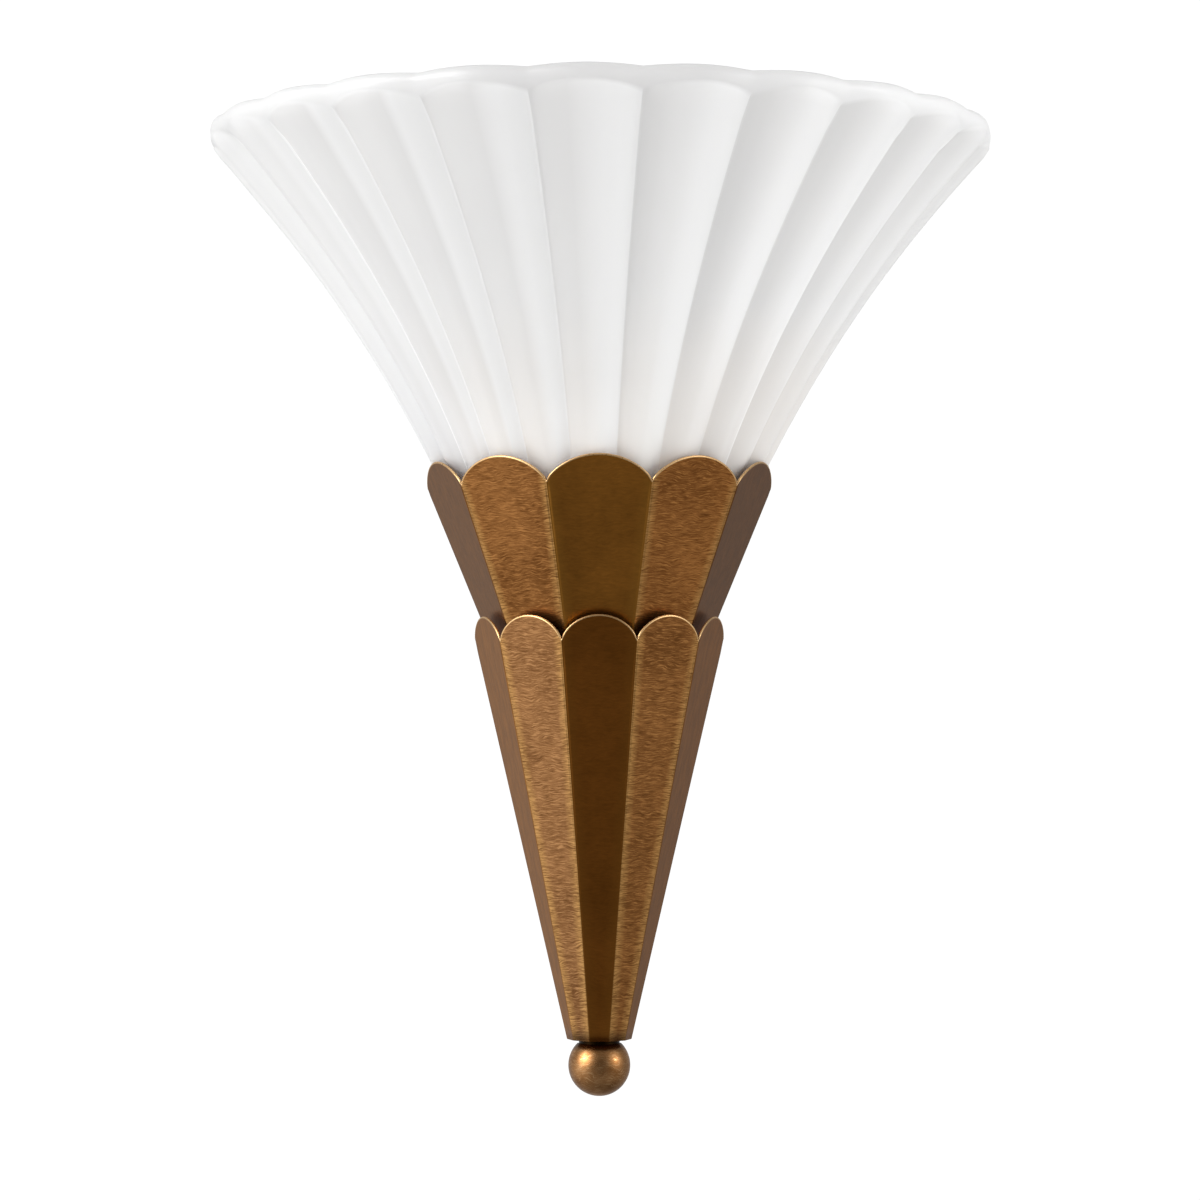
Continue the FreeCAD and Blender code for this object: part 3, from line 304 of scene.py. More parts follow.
# ---- the folded tiers of the torch ----------------------------------------------------------
FOLD_R = 1.8             # outside bend radius of a fold, a little rounder than in the CAD model
FOLD_EASE = FOLD_R * math.tan(math.radians(FRONT_STEP / 2))  # width that a fold takes off each flat
FACETS = 5
FACET_COLUMNS = 26       # steps across one flat
FACET_CROWDED = 0.45     # how far the columns of a flat draw together at its folds
FOLD_COLUMNS = 6         # steps round one fold
TIER_ROWS = 30           # steps up the face, and as many down the back
EDGE_ROUND = 0.28        # rounding of the sheet's upper edge
# over the scallop's edge: depth in sheet thicknesses, and distance back from the edge in edge rounds.
# the first row ends the flat, and the edge of rubbed brass with a painted highlight starts there
EDGE_ROWS = [(0.0, 2.4), (0.0, 1.0), (0.12, 0.45), (0.35, 0.12), (0.62, 0.0)]
VALLEY_CUT = 1.1         # how much deeper the valleys are cut than the scallops' arcs
VALLEY_SPREAD = 0.9      # distance from the valley over which that fades


def polar(radius, angle, z):
    """A point at a radius and an angle from straight out."""
    turn = math.radians(angle)
    return Vector((radius * math.sin(turn), -radius * math.cos(turn), z))


class Facet:
    """One flat of a tier: a point from its middle at the valleys, across and up, in its own plane."""

    def __init__(self, tier, index):
        left = polar(tier["valley_r"], FOLDS[index], tier["valley_z"])
        right = polar(tier["valley_r"], FOLDS[index + 1], tier["valley_z"])
        self.middle = (left + right) / 2
        self.half = (right - left).length / 2
        self.across = (right - left).normalized()
        out = Vector((self.middle.x, self.middle.y, 0)) * (tier["slope"] / tier["valley_r"])
        self.up = Vector((out.x, out.y, 1.0)).normalized()
        self.normal = self.across.cross(self.up)
        self.taper = self.half * tier["slope"] / tier["valley_r"] * self.up.z
        self.bottom = (tier["bottom_z"] - tier["valley_z"]) / self.up.z
        self.rise = tier["scallop"] / self.up.z
        self.round_r = (self.half ** 2 + self.rise ** 2) / (2 * self.rise)

    def half_width(self, up):
        return self.half + self.taper * min(up, 0.0)

    def top(self, across):
        """Height of the scallop's edge above the valleys."""
        arc = math.sqrt(max(self.round_r ** 2 - across ** 2, 0.0)) - self.round_r + self.rise
        return arc - VALLEY_CUT * math.exp(-(self.half - abs(across)) / VALLEY_SPREAD)

    def point(self, across, up, depth):
        return self.middle + self.across * across + self.up * up - self.normal * depth

    def flat_point(self, share, height, depth, back):
        """A point at a share of the half width, a share of the height and a distance back from the edge."""
        across = share * (self.half - FOLD_EASE)
        lean = across / self.round_r
        top = self.top(across) - back * math.sqrt(max(1 - lean ** 2, 0.0))
        up = self.bottom + (top - self.bottom) * height
        # over the edge, the way back is square to the scallop's arc
        inward = lean * back if height == 1.0 else 0.0
        return self.point(share * (self.half_width(up) - FOLD_EASE) - inward, up, depth)

    def fold_start(self, side, height, depth, back):
        """The same where the fold starts on the left (-1) or right (1)."""
        top = self.top(self.half - FOLD_EASE) - back
        up = self.bottom + (top - self.bottom) * height
        return self.point(side * (self.half_width(up) - FOLD_EASE), up, depth)


def fold_point(facet, other, bend, height, depth, back):
    """A point of the rounded fold between two flats, whose upper edge dips down into the valley."""
    rest = 1 - bend
    # a curve about the fold's corner, at the valley's level, and then lifted to meet both flats
    low = facet.bottom + (-VALLEY_CUT - back - facet.bottom) * height
    half = facet.half_width(low)
    start = facet.point(half - FOLD_EASE, low, depth)
    corner = facet.point(half, low, depth)
    end = other.point(FOLD_EASE - other.half_width(low), low, depth)
    start_lift = facet.fold_start(1, height, depth, back).z - start.z
    end_lift = other.fold_start(-1, height, depth, back).z - end.z
    curve = start * rest ** 2 + corner * 2 * bend * rest + end * bend ** 2
    return curve + Vector((0, 0, (start_lift * rest + end_lift * bend) * (1 - 4 * bend * rest)))


def tier_row(facets, height, depth, back):
    """One row of points across the whole tier, from the left to the right."""
    points = []
    for index, facet in enumerate(facets):
        for step in range(FACET_COLUMNS + 1):
            even = 2 * step / FACET_COLUMNS - 1
            crowded = -math.cos(math.pi * step / FACET_COLUMNS)
            share = even + FACET_CROWDED * (crowded - even)
            points.append(facet.flat_point(share, height, depth, back))
        if index < FACETS - 1:
            points += [fold_point(facet, facets[index + 1], step / FOLD_COLUMNS, height, depth, back)
                       for step in range(1, FOLD_COLUMNS)]
    # nothing passes through the wall
    return [(point.x, min(point.y, 0.0), point.z) for point in points]


def make_tier(name, tier):
    """The folded sheet, up its face, over the scallops' edge and down its back. Its edge is material 1."""
    facets = [Facet(tier, index) for index in range(FACETS)]
    over = [(depth * SHEET, back * EDGE_ROUND) for depth, back in EDGE_ROWS]
    over += [(SHEET - depth, back) for depth, back in reversed(over)]
    rows = [(i / TIER_ROWS, 0.0, over[0][1]) for i in range(TIER_ROWS)]
    rows += [(1.0, depth, back) for depth, back in over]
    rows += [(1.0 - i / TIER_ROWS, SHEET, over[-1][1]) for i in range(1, TIER_ROWS + 1)]
    points = [point for row in rows for point in tier_row(facets, *row)]
    count = len(rows)
    width = len(points) // count
    left_end = range(0, count * width, width)
    right_end = range(count * width - 1, 0, -width)
    obj = mesh_object(name, points, wrapped_faces(count, width), [tuple(left_end), tuple(right_end)])
    edge = range(TIER_ROWS, TIER_ROWS + len(over) - 1)
    for polygon in obj.data.polygons:
        if polygon.index // (width - 1) in edge:
            polygon.material_index = 1
    return obj


# ---- nodes ----------------------------------------------------------------------------------
def is_socket(value):
    return isinstance(value, bpy.types.NodeSocket)


def rgba(color):
    return color if is_socket(color) else (*color, 1.0)


class Graph:
    """Short calls for building the nodes of a material or of the world. Places are in metres."""

    def __init__(self, tree):
        self.nodes = tree.nodes
        self.links = tree.links

    def feed(self, socket, value):
        if is_socket(value):
            self.links.new(value, socket)
        else:
            socket.default_value = value

    def node(self, kind, inputs=None, **settings):
        made = self.nodes.new(kind)
        for key, value in settings.items():
            setattr(made, key, value)
        for key, value in (inputs or {}).items():
            self.feed(made.inputs[key], value)
        return made

    def math(self, operation, a, b=0.0, clamp=False):
        return self.node("ShaderNodeMath", {0: a, 1: b}, operation=operation, use_clamp=clamp).outputs[0]

    def add(self, a, b):
        return self.math("ADD", a, b)

    def subtract(self, a, b):
        return self.math("SUBTRACT", a, b)

    def times(self, a, b):
        return self.math("MULTIPLY", a, b)

    def absolute(self, a):
        return self.math("ABSOLUTE", a)

    def span(self, value, low, high, to_low=0.0, to_high=1.0):
        """From to_low, where the value is low, evenly to to_high, where it is high, and no further."""
        return self.node("ShaderNodeMapRange", {"Value": value, "From Min": low, "From Max": high,
                                                "To Min": to_low, "To Max": to_high}).outputs["Result"]

    def eased(self, value, start, end):
        """What ramp does, in nodes."""
        return self.node("ShaderNodeMapRange", {"Value": value, "From Min": start, "From Max": end},
                         interpolation_type="SMOOTHSTEP").outputs["Result"]

    def mix(self, factor, a, b, blend="MIX"):
        made = self.node("ShaderNodeMix", data_type="RGBA", blend_type=blend)
        for index, value in ((0, factor), (6, rgba(a)), (7, rgba(b))):
            self.feed(made.inputs[index], value)
        return made.outputs[2]

    def tinted(self, color, tone):
        """A colour times a tone, where the tone is a colour or one number."""
        if is_socket(tone) and tone.type == "VALUE":
            tone = self.join(tone, tone, tone)
        return self.mix(1.0, color, tone, "MULTIPLY")

    def place(self):
        return self.node("ShaderNodeTexCoord").outputs["Object"]

    def split(self, vector):
        return self.node("ShaderNodeSeparateXYZ", {"Vector": vector}).outputs

    def join(self, x, y, z):
        return self.node("ShaderNodeCombineXYZ", {"X": x, "Y": y, "Z": z}).outputs[0]

    def turn(self, x, y):
        """Degrees round from straight out."""
        return self.times(self.math("ARCTAN2", x, self.times(y, -1.0)), 180.0 / math.pi)

    def noise(self, vector, scale, detail=3.0, roughness=0.5, distortion=0.0):
        """A cloudy pattern. Its scale is one number, or one for each of x, y and z."""
        if isinstance(scale, tuple):
            vector = self.node("ShaderNodeMapping", {"Vector": vector, "Scale": scale}).outputs[0]
            scale = 1.0
        made = self.node("ShaderNodeTexNoise", {"Vector": vector, "Scale": scale, "Detail": detail,
                                                "Roughness": roughness, "Distortion": distortion})
        return made.outputs["Fac"]

    def bump(self, height, strength, distance):
        made = self.node("ShaderNodeBump", {"Height": height, "Strength": strength, "Distance": distance})
        return made.outputs[0]


class Finish(Graph):
    """The nodes of one material."""

    def __init__(self, name):
        self.mat = bpy.data.materials.new(name)
        self.mat.use_nodes = True
        super().__init__(self.mat.node_tree)
        self.nodes.clear()
        self.out = self.node("ShaderNodeOutputMaterial")

    def surface(self, color, rough, metallic=0.0, normal=None):
        shader = self.node("ShaderNodeBsdfPrincipled", {"Base Color": rgba(color), "Roughness": rough,
                                                        "Metallic": metallic})
        if normal is not None:
            self.feed(shader.inputs["Normal"], normal)
        self.links.new(shader.outputs[0], self.out.inputs["Surface"])
        return shader


# ---- opal glass -----------------------------------------------------------------------------
# painted shade and painted light: each lobe has a flank painted in shade, darker down to its crease, and
# one painted in light
SHADED_FLANK = (0.835, 0.830, 0.826)
CREASE_SHADE = (0.71, 0.706, 0.702)
LIT_FLANK = (0.978, 0.976, 0.975)
FAR_LEFT_SHADED_FLANK = (0.885, 0.885, 0.885)
FAR_LEFT_LIT_FLANK = (0.912, 0.912, 0.912)
# painted warm light and painted shade low down, where the cup's light and shade reach
LOW_WARM = (0.93, 0.885, 0.835)
LOW_LEFT = (0.74, 0.74, 0.76)
LOW_RIGHT = (0.70, 0.68, 0.665)
# painted highlight along the creases
CREASE_HIGHLIGHT = (0.99, 0.99, 0.99)
# painted light and shade on the lip: darker in the middle and at the far left, paler at the sides, and
# painted shade along its top
RIM_MIDDLE = (0.80, 0.795, 0.795)
RIM_SIDES = (0.955, 0.955, 0.955)
RIM_FAR_LEFT = (0.86, 0.86, 0.86)
RIM_TOP_SHADE = (0.74, 0.74, 0.75)
GLASS_CLOUD = (0.97, 0.965, 0.95)
# a span: from one value to another, and what it gives at each where that isn't 0 and 1. over degrees round:
FLANK_WIDTH = (-25.0, 10.0, 0.05, 0.34)   # half the width of the change from the dark flank to the pale one
FLANK_SHIFT = (5.0, -50.0, 0.02, 0.30)    # its place off the ridge
FAR_LEFT = (-48.0, -68.0)
WARM_TO_RIGHT = (0.0, 35.0, 0.60, 0.95)
WARM_FROM_LEFT = (-68.0, -35.0)
LOW_LEFT_SPAN = (-35.0, -62.0, 0.0, 0.6)
LOW_RIGHT_SPAN = (15.0, 40.0, 0.0, 0.7)
LINE_TO_SIDES = (32.0, 60.0, 0.15, 1.0)
RIM_CENTRE = 4.0
RIM_TO_SIDES = (12.0, 42.0)
RIM_LEFT_END = (-50.0, -70.0)
GLOW_RIGHT_END = (25.0, 0.0)
GLOW_LEFT_END = (-62.0, -44.0)
# over the place in a lobe, and over its flank from dark to pale:
DARK_TO_CREASE = (0.1, -0.5, 0.0, 0.45)
CREASE_WIDTH = (0.475, 0.497)
WARM_ON_FLANK = (0.0, 1.0, 1.0, 0.6)
# over height in metres:
LOW = (0.12, 0.05)
LINE_END = (0.193, 0.186)
RIM_CORNER_Z = (CUP_VALLEY_Z + SHADE_RIM_H + CROWN_RISE) * MM
RIM_CORNER = (RIM_CORNER_Z - 0.0010, RIM_CORNER_Z + 0.0008)
TOP_EDGE = (0.2008, 0.2014)
# emission that paints a glow on the glass: just above the cup, and along the creases with their painted
# highlight
CUP_GLOW = (0.090, 0.058, 0.0, 0.06)      # light coming through just above the cup
CREASE_GLOW = 0.14                        # and along the creases
# over the clouding:
CLOUD_SHARE = (0.35, 0.65, 0.0, 0.12)
CLOUD_ROUGH = (0.3, 0.7, 0.30, 0.36)


def off_ridge_nodes(g, turn):
    """Place in a lobe that leans as the flutes do, from -0.5 in its left crease to 0.5 in its right one."""
    right, full, fading, left = DRIFT_SPAN
    flute = turn
    for _ in range(2):
        drift = g.times(g.eased(flute, right, full), g.eased(flute, left, fading))
        flute = g.add(turn, g.times(drift, DRIFT))
    lobes = g.math("DIVIDE", g.subtract(flute, FLUTE_TURN - FLUTE_PITCH / 2), FLUTE_PITCH)
    return g.subtract(g.math("FRACT", lobes), 0.5)


def flank_nodes(g, turn, off_ridge):
    """0 on the flank of a lobe painted in shade, 1 on the one painted in light, with a narrower change
    towards the left.
    """
    width = g.span(turn, *FLANK_WIDTH)
    past = g.subtract(off_ridge, g.span(turn, *FLANK_SHIFT))
    return g.math("ADD", g.math("DIVIDE", past, g.times(width, 2.0)), 0.5, clamp=True)


def lobe_color_nodes(g, turn, z, off_ridge):
    """Painted shade and light on the lobes' flanks, and painted warm light and shade on the glass low down.
    """
    flank = flank_nodes(g, turn, off_ridge)
    far_left = g.span(turn, *FAR_LEFT)
    dark = g.mix(far_left, SHADED_FLANK, FAR_LEFT_SHADED_FLANK)
    dark = g.mix(g.span(off_ridge, *DARK_TO_CREASE), dark, CREASE_SHADE)
    color = g.mix(flank, dark, g.mix(far_left, LIT_FLANK, FAR_LEFT_LIT_FLANK))
    # painted warm light from the cup, and painted shade to the left and right, low down
    low = g.span(z, *LOW)
    warm = g.times(g.span(turn, *WARM_TO_RIGHT), g.span(turn, *WARM_FROM_LEFT))
    warm = g.times(warm, g.span(flank, *WARM_ON_FLANK))
    color = g.mix(g.times(low, warm), color, LOW_WARM)
    color = g.mix(g.times(low, g.span(turn, *LOW_LEFT_SPAN)), color, LOW_LEFT)
    return g.mix(g.times(low, g.span(turn, *LOW_RIGHT_SPAN)), color, LOW_RIGHT)


def rim_color_nodes(g, turn, z, off_ridge, color):
    """The plain lip, which begins on an arch over each lobe, with painted light and shade across it and
    painted shade along its top.
    """
    share = g.times(off_ridge, 2.0)
    above = g.add(z, g.times(g.times(share, share), CREASE_DROP * MM))
    off_middle = g.absolute(g.subtract(turn, RIM_CENTRE))
    rim = g.mix(g.span(off_middle, *RIM_TO_SIDES), RIM_MIDDLE, RIM_SIDES)
    rim = g.mix(g.span(turn, *RIM_LEFT_END), rim, RIM_FAR_LEFT)
    color = g.mix(g.span(above, *RIM_CORNER), color, rim)
    return g.mix(g.span(z, *TOP_EDGE), color, RIM_TOP_SHADE)


def opal_glass():
    """Acid-etched opal glass: white right through, with a soft sheen, painted light and shade on its lobes,
    lip and lower part, and painted highlight lines that glow along its creases.
    """
    g = Finish("opal_glass")
    place = g.place()
    x, y, z = g.split(place)
    turn = g.turn(x, y)
    off_ridge = off_ridge_nodes(g, turn)
    # painted highlight lines along the creases, towards the sides and below the rim; they also glow
    crease = g.span(g.absolute(off_ridge), *CREASE_WIDTH)
    to_sides = g.span(g.absolute(turn), *LINE_TO_SIDES)
    line = g.times(g.times(crease, to_sides), g.span(z, *LINE_END))
    cloud = g.noise(place, 14.0, 2.0)
    fine = g.noise(place, 2600.0, 2.0)
    color = g.mix(line, lobe_color_nodes(g, turn, z, off_ridge), CREASE_HIGHLIGHT)
    color = rim_color_nodes(g, turn, z, off_ridge, color)
    color = g.mix(g.span(cloud, *CLOUD_SHARE), color, GLASS_CLOUD)
    shader = g.surface(color, g.span(cloud, *CLOUD_ROUGH), normal=g.bump(fine, 0.04, 0.0004))
    shader.inputs["IOR"].default_value = 1.5
    shader.inputs["Subsurface Weight"].default_value = 0.6
    shader.inputs["Subsurface Radius"].default_value = (1.0, 1.0, 0.97)
    shader.inputs["Subsurface Scale"].default_value = 0.003
    in_front = g.times(g.span(turn, *GLOW_RIGHT_END), g.span(turn, *GLOW_LEFT_END))
    near_cup = g.times(g.span(z, *CUP_GLOW), in_front)
    g.feed(shader.inputs["Emission Strength"], g.add(near_cup, g.times(line, CREASE_GLOW)))
    shader.inputs["Emission Color"].default_value = (1.0, 1.0, 1.0, 1.0)
    return g.mat


# ---- brass ----------------------------------------------------------------------------------
# a dark, a middle and a light colour for the slanting flats. The left and right ones are lit and shaded
# copies of one brass, set for the light that falls on each side, and the cone's left one holds a painted
# pink sheen
GOLD_LEFT = ((0.130, 0.045, 0.009), (0.30, 0.118, 0.031), (0.60, 0.270, 0.084))
GOLD_RIGHT = ((0.160, 0.056, 0.011), (0.37, 0.138, 0.034), (0.70, 0.310, 0.088))
ROSE_SHEEN_LEFT = ((0.140, 0.056, 0.018), (0.32, 0.143, 0.051), (0.64, 0.330, 0.135))
BROWN_RIGHT = ((0.130, 0.048, 0.011), (0.31, 0.123, 0.033), (0.60, 0.275, 0.086))
# the middle and side flats of each tier, each in its own colour, which paints the light and shade that
# falls on it
CUP_CENTRE = (0.37, 0.148, 0.023)
CUP_SIDE = (0.27, 0.108, 0.020)
CONE_CENTRE = (0.266, 0.093, 0.014)
CONE_SIDE = (0.40, 0.160, 0.028)
# rubbed gold along the slanting flats' folds, which also paints a highlight there
RUBBED_GOLD_AND_HIGHLIGHT = (0.82, 0.46, 0.15)
# what the colour is multiplied by on the right side's flat, as painted shade, and next to the folds of the
# middle one, as a painted highlight
RIGHT_SIDE_SHADE = (0.88, 0.84, 0.76)
CENTRE_FOLD_HIGHLIGHT = (1.25, 1.45, 1.5)
# how often each pattern varies over a metre, along x, y and z
WAVE_SCALE = (95.0, 95.0, 150.0)
HAIR_SCALE = (215.0, 215.0, 3200.0)
GRAIN_SCALE = (300.0, 300.0, 1500.0)
STREAK_SCALE = (520.0, 520.0, 26.0)
BALL_HAIR_SCALE = (320.0, 320.0, 2400.0)
HAIR_WAVE = 0.0044       # how far up the waves bend the hair strokes
BALL_HAIR_WAVE = 0.006   # the same for the scratches on the ball
BALL_TILT = 0.5          # slope of the scratches on the ball
BALL_DARK = (0.27, 0.115, 0.035)
BALL_LIGHT = (0.50, 0.250, 0.100)
BALL_SCRATCH = (0.74, 0.45, 0.22)
# painted shade in the recess under the torch, over the ball's top
RECESS_SHADE = (0.012, 0.006, 0.002)
# shares of the way that the mottle takes the slanting flats from dark to middle, and from middle to light
DARK_MOTTLE = 0.45
LIGHT_MOTTLE = 0.28
# spans over the patterns:
MOTTLE = (0.32, 0.68)
HAIR_LIGHT = (0.51, 0.63, 0.0, 0.80)
HAIR_DARK = (0.47, 0.36, 0.0, 0.70)
HAIR_RUB_HIGHLIGHT = (0.38, 0.60, 0.15, 1.0)
HAIR_ROUGH = (0.35, 0.65, 0.42, 0.30)
FINE_ROUGH = (0.3, 0.7, 0.33, 0.38)
PATCH_TONE = (0.3, 0.7, 0.78, 1.2)
GRAIN_TONE = (0.3, 0.7, 0.84, 1.16)
STREAK_TONE = (0.35, 0.65, 0.86, 1.14)
BALL_HAIR_LIGHT = (0.52, 0.66, 0.0, 0.6)
BALL_ROUGH = (0.35, 0.65, 0.30, 0.24)
# over metres inside a slanting flat, over x, over height, and over the degrees off the middle:
SLANTING = (-0.0002, 0.0003)
RUB_HIGHLIGHT_WIDTH = (0.0040, 0.0003)
RUB_HIGHLIGHT_SHARE = 0.75
NEAR_FOLD = (-0.0050, -0.0002, 0.0, 0.40)
MIDDLE_TO_RIGHT = (-0.004, 0.004)
RECESS_SHADE_HEIGHTS = (-0.1868, -0.1832)
CENTRE_TO_SIDE = (FRONT_STEP - 1.0, FRONT_STEP + 1.0)


def inside_flat_nodes(g, x, y, off_middle):
    """Metres inside the nearer fold of the slanting flat, and negative on the flats beside it."""
    radius = g.math("SQRT", g.add(g.times(x, x), g.times(y, y)))
    past_inner = g.subtract(off_middle, 0.5 * FRONT_STEP)
    to_outer = g.subtract(1.5 * FRONT_STEP, off_middle)
    degrees = g.math("MINIMUM", past_inner, to_outer)
    return g.times(g.times(degrees, radius), math.pi / 180.0)


def blend(first, second, share):
    """The colour at a share of the way from the first to the second."""
    return [(1 - share) * a + share * b for a, b in zip(first, second)]


def aged_brass(name, centre, side, left, right):
    """Antique brass of a folded tier: wavy strokes on the slanting flats, rubbed gold with a painted
    highlight along their folds.

    centre and side are the colours of the flat in the middle and of the two at the sides. left and right
    hold a dark, a middle and a light colour for the slanting flats. Each flat's colours paint the light and
    shade that falls on it.
    """
    g = Finish(name)
    place = g.place()
    x, y, z = g.split(place)
    off_middle = g.absolute(g.turn(x, y))
    inside = inside_flat_nodes(g, x, y, off_middle)
    slanting = g.span(inside, *SLANTING)
    to_right = g.span(x, *MIDDLE_TO_RIGHT)
    patches = g.noise(place, 30.0, 4.0, 0.6)
    fine = g.noise(place, 900.0, 3.0, 0.6)
    wave = g.noise(place, WAVE_SCALE, 2.0)
    bent = g.join(x, y, g.add(z, g.times(wave, HAIR_WAVE)))
    hairs = g.noise(bent, HAIR_SCALE, 3.0, 0.66, 0.2)
    grain = g.noise(bent, GRAIN_SCALE, 4.0, 0.7)
    streaks = g.noise(place, STREAK_SCALE, 3.0, 0.6)

    # the slanting flats, in lit and shaded copies of their colours on the left and on the right, with
    # rubbed gold and a painted highlight along their folds
    mottle = g.span(patches, *MOTTLE)
    flats = []
    for dark, middle, light in (left, right):
        tone = g.mix(mottle, blend(dark, middle, DARK_MOTTLE), blend(middle, light, LIGHT_MOTTLE))
        tone = g.mix(g.span(hairs, *HAIR_LIGHT), tone, light)
        flats.append(g.mix(g.span(hairs, *HAIR_DARK), tone, dark))
    flat = g.mix(to_right, *flats)
    rub_and_highlight = g.times(g.span(inside, *RUB_HIGHLIGHT_WIDTH), g.span(hairs, *HAIR_RUB_HIGHLIGHT))
    flat = g.mix(g.times(rub_and_highlight, RUB_HIGHLIGHT_SHARE), flat, RUBBED_GOLD_AND_HIGHLIGHT)

    # the quieter flats, in the middle and at the sides, each in its own colour, which paints the light and
    # shade that falls on it, and with a painted highlight next to the middle one's folds
    tone = g.times(g.span(patches, *PATCH_TONE), g.span(grain, *GRAIN_TONE))
    middle = g.tinted(centre, tone)
    near_fold = g.span(inside, *NEAR_FOLD)
    middle = g.mix(near_fold, middle, [c * share for c, share in zip(centre, CENTRE_FOLD_HIGHLIGHT)])
    outer = g.tinted(side, g.span(streaks, *STREAK_TONE))
    outer = g.mix(to_right, outer, g.tinted(outer, RIGHT_SIDE_SHADE))
    quiet = g.mix(g.span(off_middle, *CENTRE_TO_SIDE), middle, outer)

    rough = g.mix(slanting, g.span(fine, *FINE_ROUGH), g.span(hairs, *HAIR_ROUGH))
    height = g.add(g.times(hairs, slanting), g.times(fine, 0.1))
    g.surface(g.mix(slanting, quiet, flat), rough, 1.0, g.bump(height, 0.11, 0.0004))
    return g.mat


def cast_brass(name):
    """Brass of the ball: mottled, scratched under the light, and with painted shade in the recess below the
    torch.
    """
    g = Finish(name)
    place = g.place()
    x, y, z = g.split(place)
    patches = g.noise(place, 120.0, 4.0, 0.6)
    wave = g.noise(place, 160.0, 2.0)
    tilted = g.join(g.add(x, g.times(z, BALL_TILT)), y, g.add(z, g.times(wave, BALL_HAIR_WAVE)))
    hairs = g.noise(tilted, BALL_HAIR_SCALE, 3.0, 0.6, 0.3)
    color = g.mix(g.span(patches, *MOTTLE), BALL_DARK, BALL_LIGHT)
    color = g.mix(g.span(hairs, *BALL_HAIR_LIGHT), color, BALL_SCRATCH)
    color = g.mix(g.span(z, *RECESS_SHADE_HEIGHTS), color, RECESS_SHADE)
    g.surface(color, g.span(hairs, *BALL_ROUGH), 1.0, g.bump(hairs, 0.08, 0.0004))
    return g.mat


# ---- plain finishes -------------------------------------------------------------------------
FINE_SCALE = 22.0        # how many times finer the fine variation is than the slow one
ROUGH_VARY = 0.15        # share by which the roughness varies each way


def plain(name, color, rough, metallic=0.0, vary=0.12, scale=60.0, bump=0.0):
    """A simple finish with its own slow and fine variation."""
    g = Finish(name)
    place = g.place()
    slow = g.noise(place, scale, 3.0)
    fine = g.noise(place, scale * FINE_SCALE, 2.0)
    low = [c * (1 - vary) for c in color]
    high = [min(1.0, c * (1 + vary)) for c in color]
    rough_high = min(1.0, rough * (1 + ROUGH_VARY))
    normal = g.bump(fine, bump, 0.0003) if bump else None
    g.surface(g.mix(g.span(slow, 0.3, 0.7), low, high),
              g.span(fine, 0.3, 0.7, rough * (1 - ROUGH_VARY), rough_high), metallic, normal)
    return g.mat


MATERIALS = {
    "aged_brass": plain("aged_brass", (0.37, 0.15, 0.03), 0.35, 1.0, bump=0.1),
    "bare_brass": plain("bare_brass", (0.72, 0.50, 0.20), 0.3, 1.0, bump=0.1),
    "zinc_steel": plain("zinc_steel", (0.58, 0.58, 0.56), 0.35, 1.0, bump=0.15),
    "bronzed_steel": plain("bronzed_steel", (0.050, 0.032, 0.020), 0.45, bump=0.2),
    "green_steel": plain("green_steel", (0.02, 0.18, 0.05), 0.35),
    "black_rubber": plain("black_rubber", (0.02, 0.02, 0.02), 0.7, bump=0.2),
    "clear_rubber": plain("clear_rubber", (0.70, 0.70, 0.66), 0.35),
    "ivory_plastic": plain("ivory_plastic", (0.72, 0.68, 0.56), 0.4, bump=0.1),
    "black_glass": plain("black_glass", (0.02, 0.02, 0.022), 0.15),
    "lamp_cap": plain("lamp_cap", (0.66, 0.65, 0.62), 0.28, 1.0, bump=0.1),
    "frosted_glass": plain("frosted_glass", (0.86, 0.85, 0.83), 0.4, vary=0.02, bump=0.05),
    "black_lead": plain("black_lead", (0.02, 0.02, 0.02), 0.5),
    "white_lead": plain("white_lead", (0.75, 0.75, 0.72), 0.5),
    "green_lead": plain("green_lead", (0.03, 0.22, 0.05), 0.5),
    "opal_glass": opal_glass(),
}

# ---- the pieces -----------------------------------------------------------------------------
SLOTS = {row["node"]: row["material_slot"] for row in frame["record"]["subparts"]}
for name, node in frame["nodes"].items():
    node.data.materials.clear()
    node.data.materials.append(MATERIALS[SLOTS[name]])
for name in ("finial_ball", "finial_collar"):
    frame["nodes"][name].data.materials.clear()
    frame["nodes"][name].data.materials.append(cast_brass(name + "_brass"))

# paler brass on the scallops' rounded edge: rubbed brass, with a painted highlight along it
RUBBED_AND_LIT_EDGE = plain("rubbed_and_lit_edge", (0.86, 0.55, 0.26), 0.30, 1.0, vary=0.06)

cup = make_tier("torch_cup", CUP)
cup.data.materials.append(aged_brass("cup_brass", CUP_CENTRE, CUP_SIDE, GOLD_LEFT, GOLD_RIGHT))
cup.data.materials.append(RUBBED_AND_LIT_EDGE)
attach(cup, "fixture")
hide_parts("upper_cup")

cone = make_tier("torch_cone", CONE)
cone.data.materials.append(aged_brass("cone_brass", CONE_CENTRE, CONE_SIDE, ROSE_SHEEN_LEFT, BROWN_RIGHT))
cone.data.materials.append(RUBBED_AND_LIT_EDGE)
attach(cone, "fixture")
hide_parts("lower_cone")

shell = make_shade()
shell.data.materials.append(MATERIALS["opal_glass"])
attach(shell, "shade")
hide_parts("glass_shade")

# ---- stage and light ------------------------------------------------------------------------
FLOOR_REACH = 3000.0     # to the sides and to the front
FLOOR_BACK = 1200.0
FLOOR_Z = -1000.0
LIGHT_TARGET = (0, -0.05, -0.1)
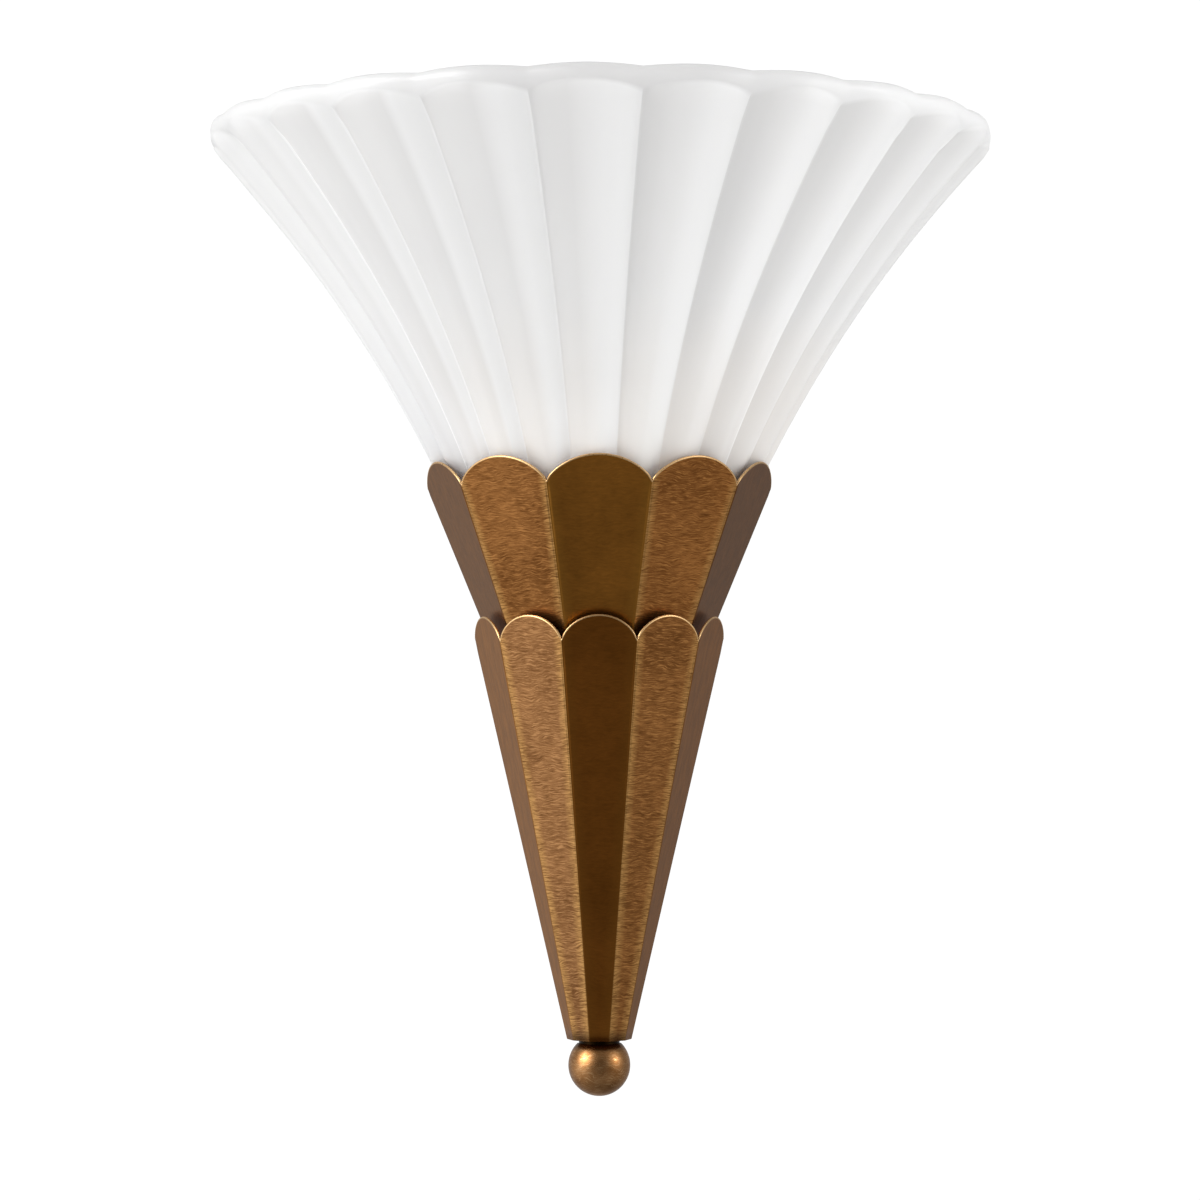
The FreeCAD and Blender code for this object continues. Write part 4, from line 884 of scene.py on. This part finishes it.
# directions from which soft light comes, as (x, y, z), how strong it is and how narrow
SHEEN_BASE = 0.15        # what the gloss sees
SHEEN = [((-0.96, -0.25, -0.24), 0.72, 4.0), ((0.96, -0.25, -0.26), 0.33, 4.0),
         ((0.0, -0.6, -0.8), 0.10, 3.0), ((-0.35, 1.0, 0.0), 0.32, 1.2), ((0.0, 0.1, 1.0), 0.3, 1.5),
         ((-0.80, -0.44, 0.41), 6.5, 16.0), ((0.88, -0.37, 0.29), 1.8, 16.0)]
WASH_BASE = 1.03         # what lights the rest
WASH = [((-0.95, 0.20, 0.08), 0.34, 1.6), ((0.95, -0.20, -0.1), 0.50, 1.2), ((0.15, -0.6, 0.8), -0.62, 1.5)]


def make_floor():
    corners = [(-FLOOR_REACH, -FLOOR_REACH), (FLOOR_REACH, -FLOOR_REACH),
               (FLOOR_REACH, FLOOR_BACK), (-FLOOR_REACH, FLOOR_BACK)]
    made = mesh_object("floor", [(x, y, FLOOR_Z) for x, y in corners], [(0, 1, 2, 3)])
    made.data.materials.append(plain("pale_floor", (0.86, 0.86, 0.86), 0.8, vary=0.01))
    made.visible_glossy = False
    return made


def studio_world():
    """A white room: bright to the camera, and softer and uneven as a light."""
    world = bpy.data.worlds.new("studio")
    world.use_nodes = True
    g = Graph(world.node_tree)
    direction = g.node("ShaderNodeTexCoord").outputs["Generated"]
    path = g.node("ShaderNodeLightPath").outputs

    def glows(base, rows):
        total = base
        for toward, strength, narrow in rows:
            facing = g.node("ShaderNodeVectorMath", {0: direction, 1: Vector(toward).normalized()},
                            operation="DOT_PRODUCT")
            glow = g.math("POWER", g.math("MAXIMUM", facing.outputs["Value"], 0.0), narrow)
            total = g.add(total, g.times(glow, strength))
        return total

    glossy = path["Is Glossy Ray"]
    light = g.add(g.times(glows(SHEEN_BASE, SHEEN), glossy),
                  g.times(glows(WASH_BASE, WASH), g.subtract(1.0, glossy)))
    background = g.nodes["Background"]
    background.inputs["Color"].default_value = (1.0, 1.0, 1.0, 1.0)
    g.feed(background.inputs["Strength"], g.math("MAXIMUM", light, path["Is Camera Ray"]))
    return world


def area_light(name, place, size, power):
    data = bpy.data.lights.new(name, "AREA")
    data.shape = "RECTANGLE"
    data.size, data.size_y = size
    data.energy = power
    light = new_object(name, data)
    light.location = place
    light.rotation_euler = (Vector(LIGHT_TARGET) - Vector(place)).to_track_quat("-Z", "Y").to_euler()


floor = make_floor()
SCENE.world = studio_world()
area_light("key_left", (-1.5, -0.83, 0.62), (0.32, 0.42), 4.5)
area_light("fill_right", (1.6, -0.68, 0.34), (0.22, 0.30), 1.8)

SCENE.view_settings.view_transform = "Standard"
SCENE.view_settings.look = "None"
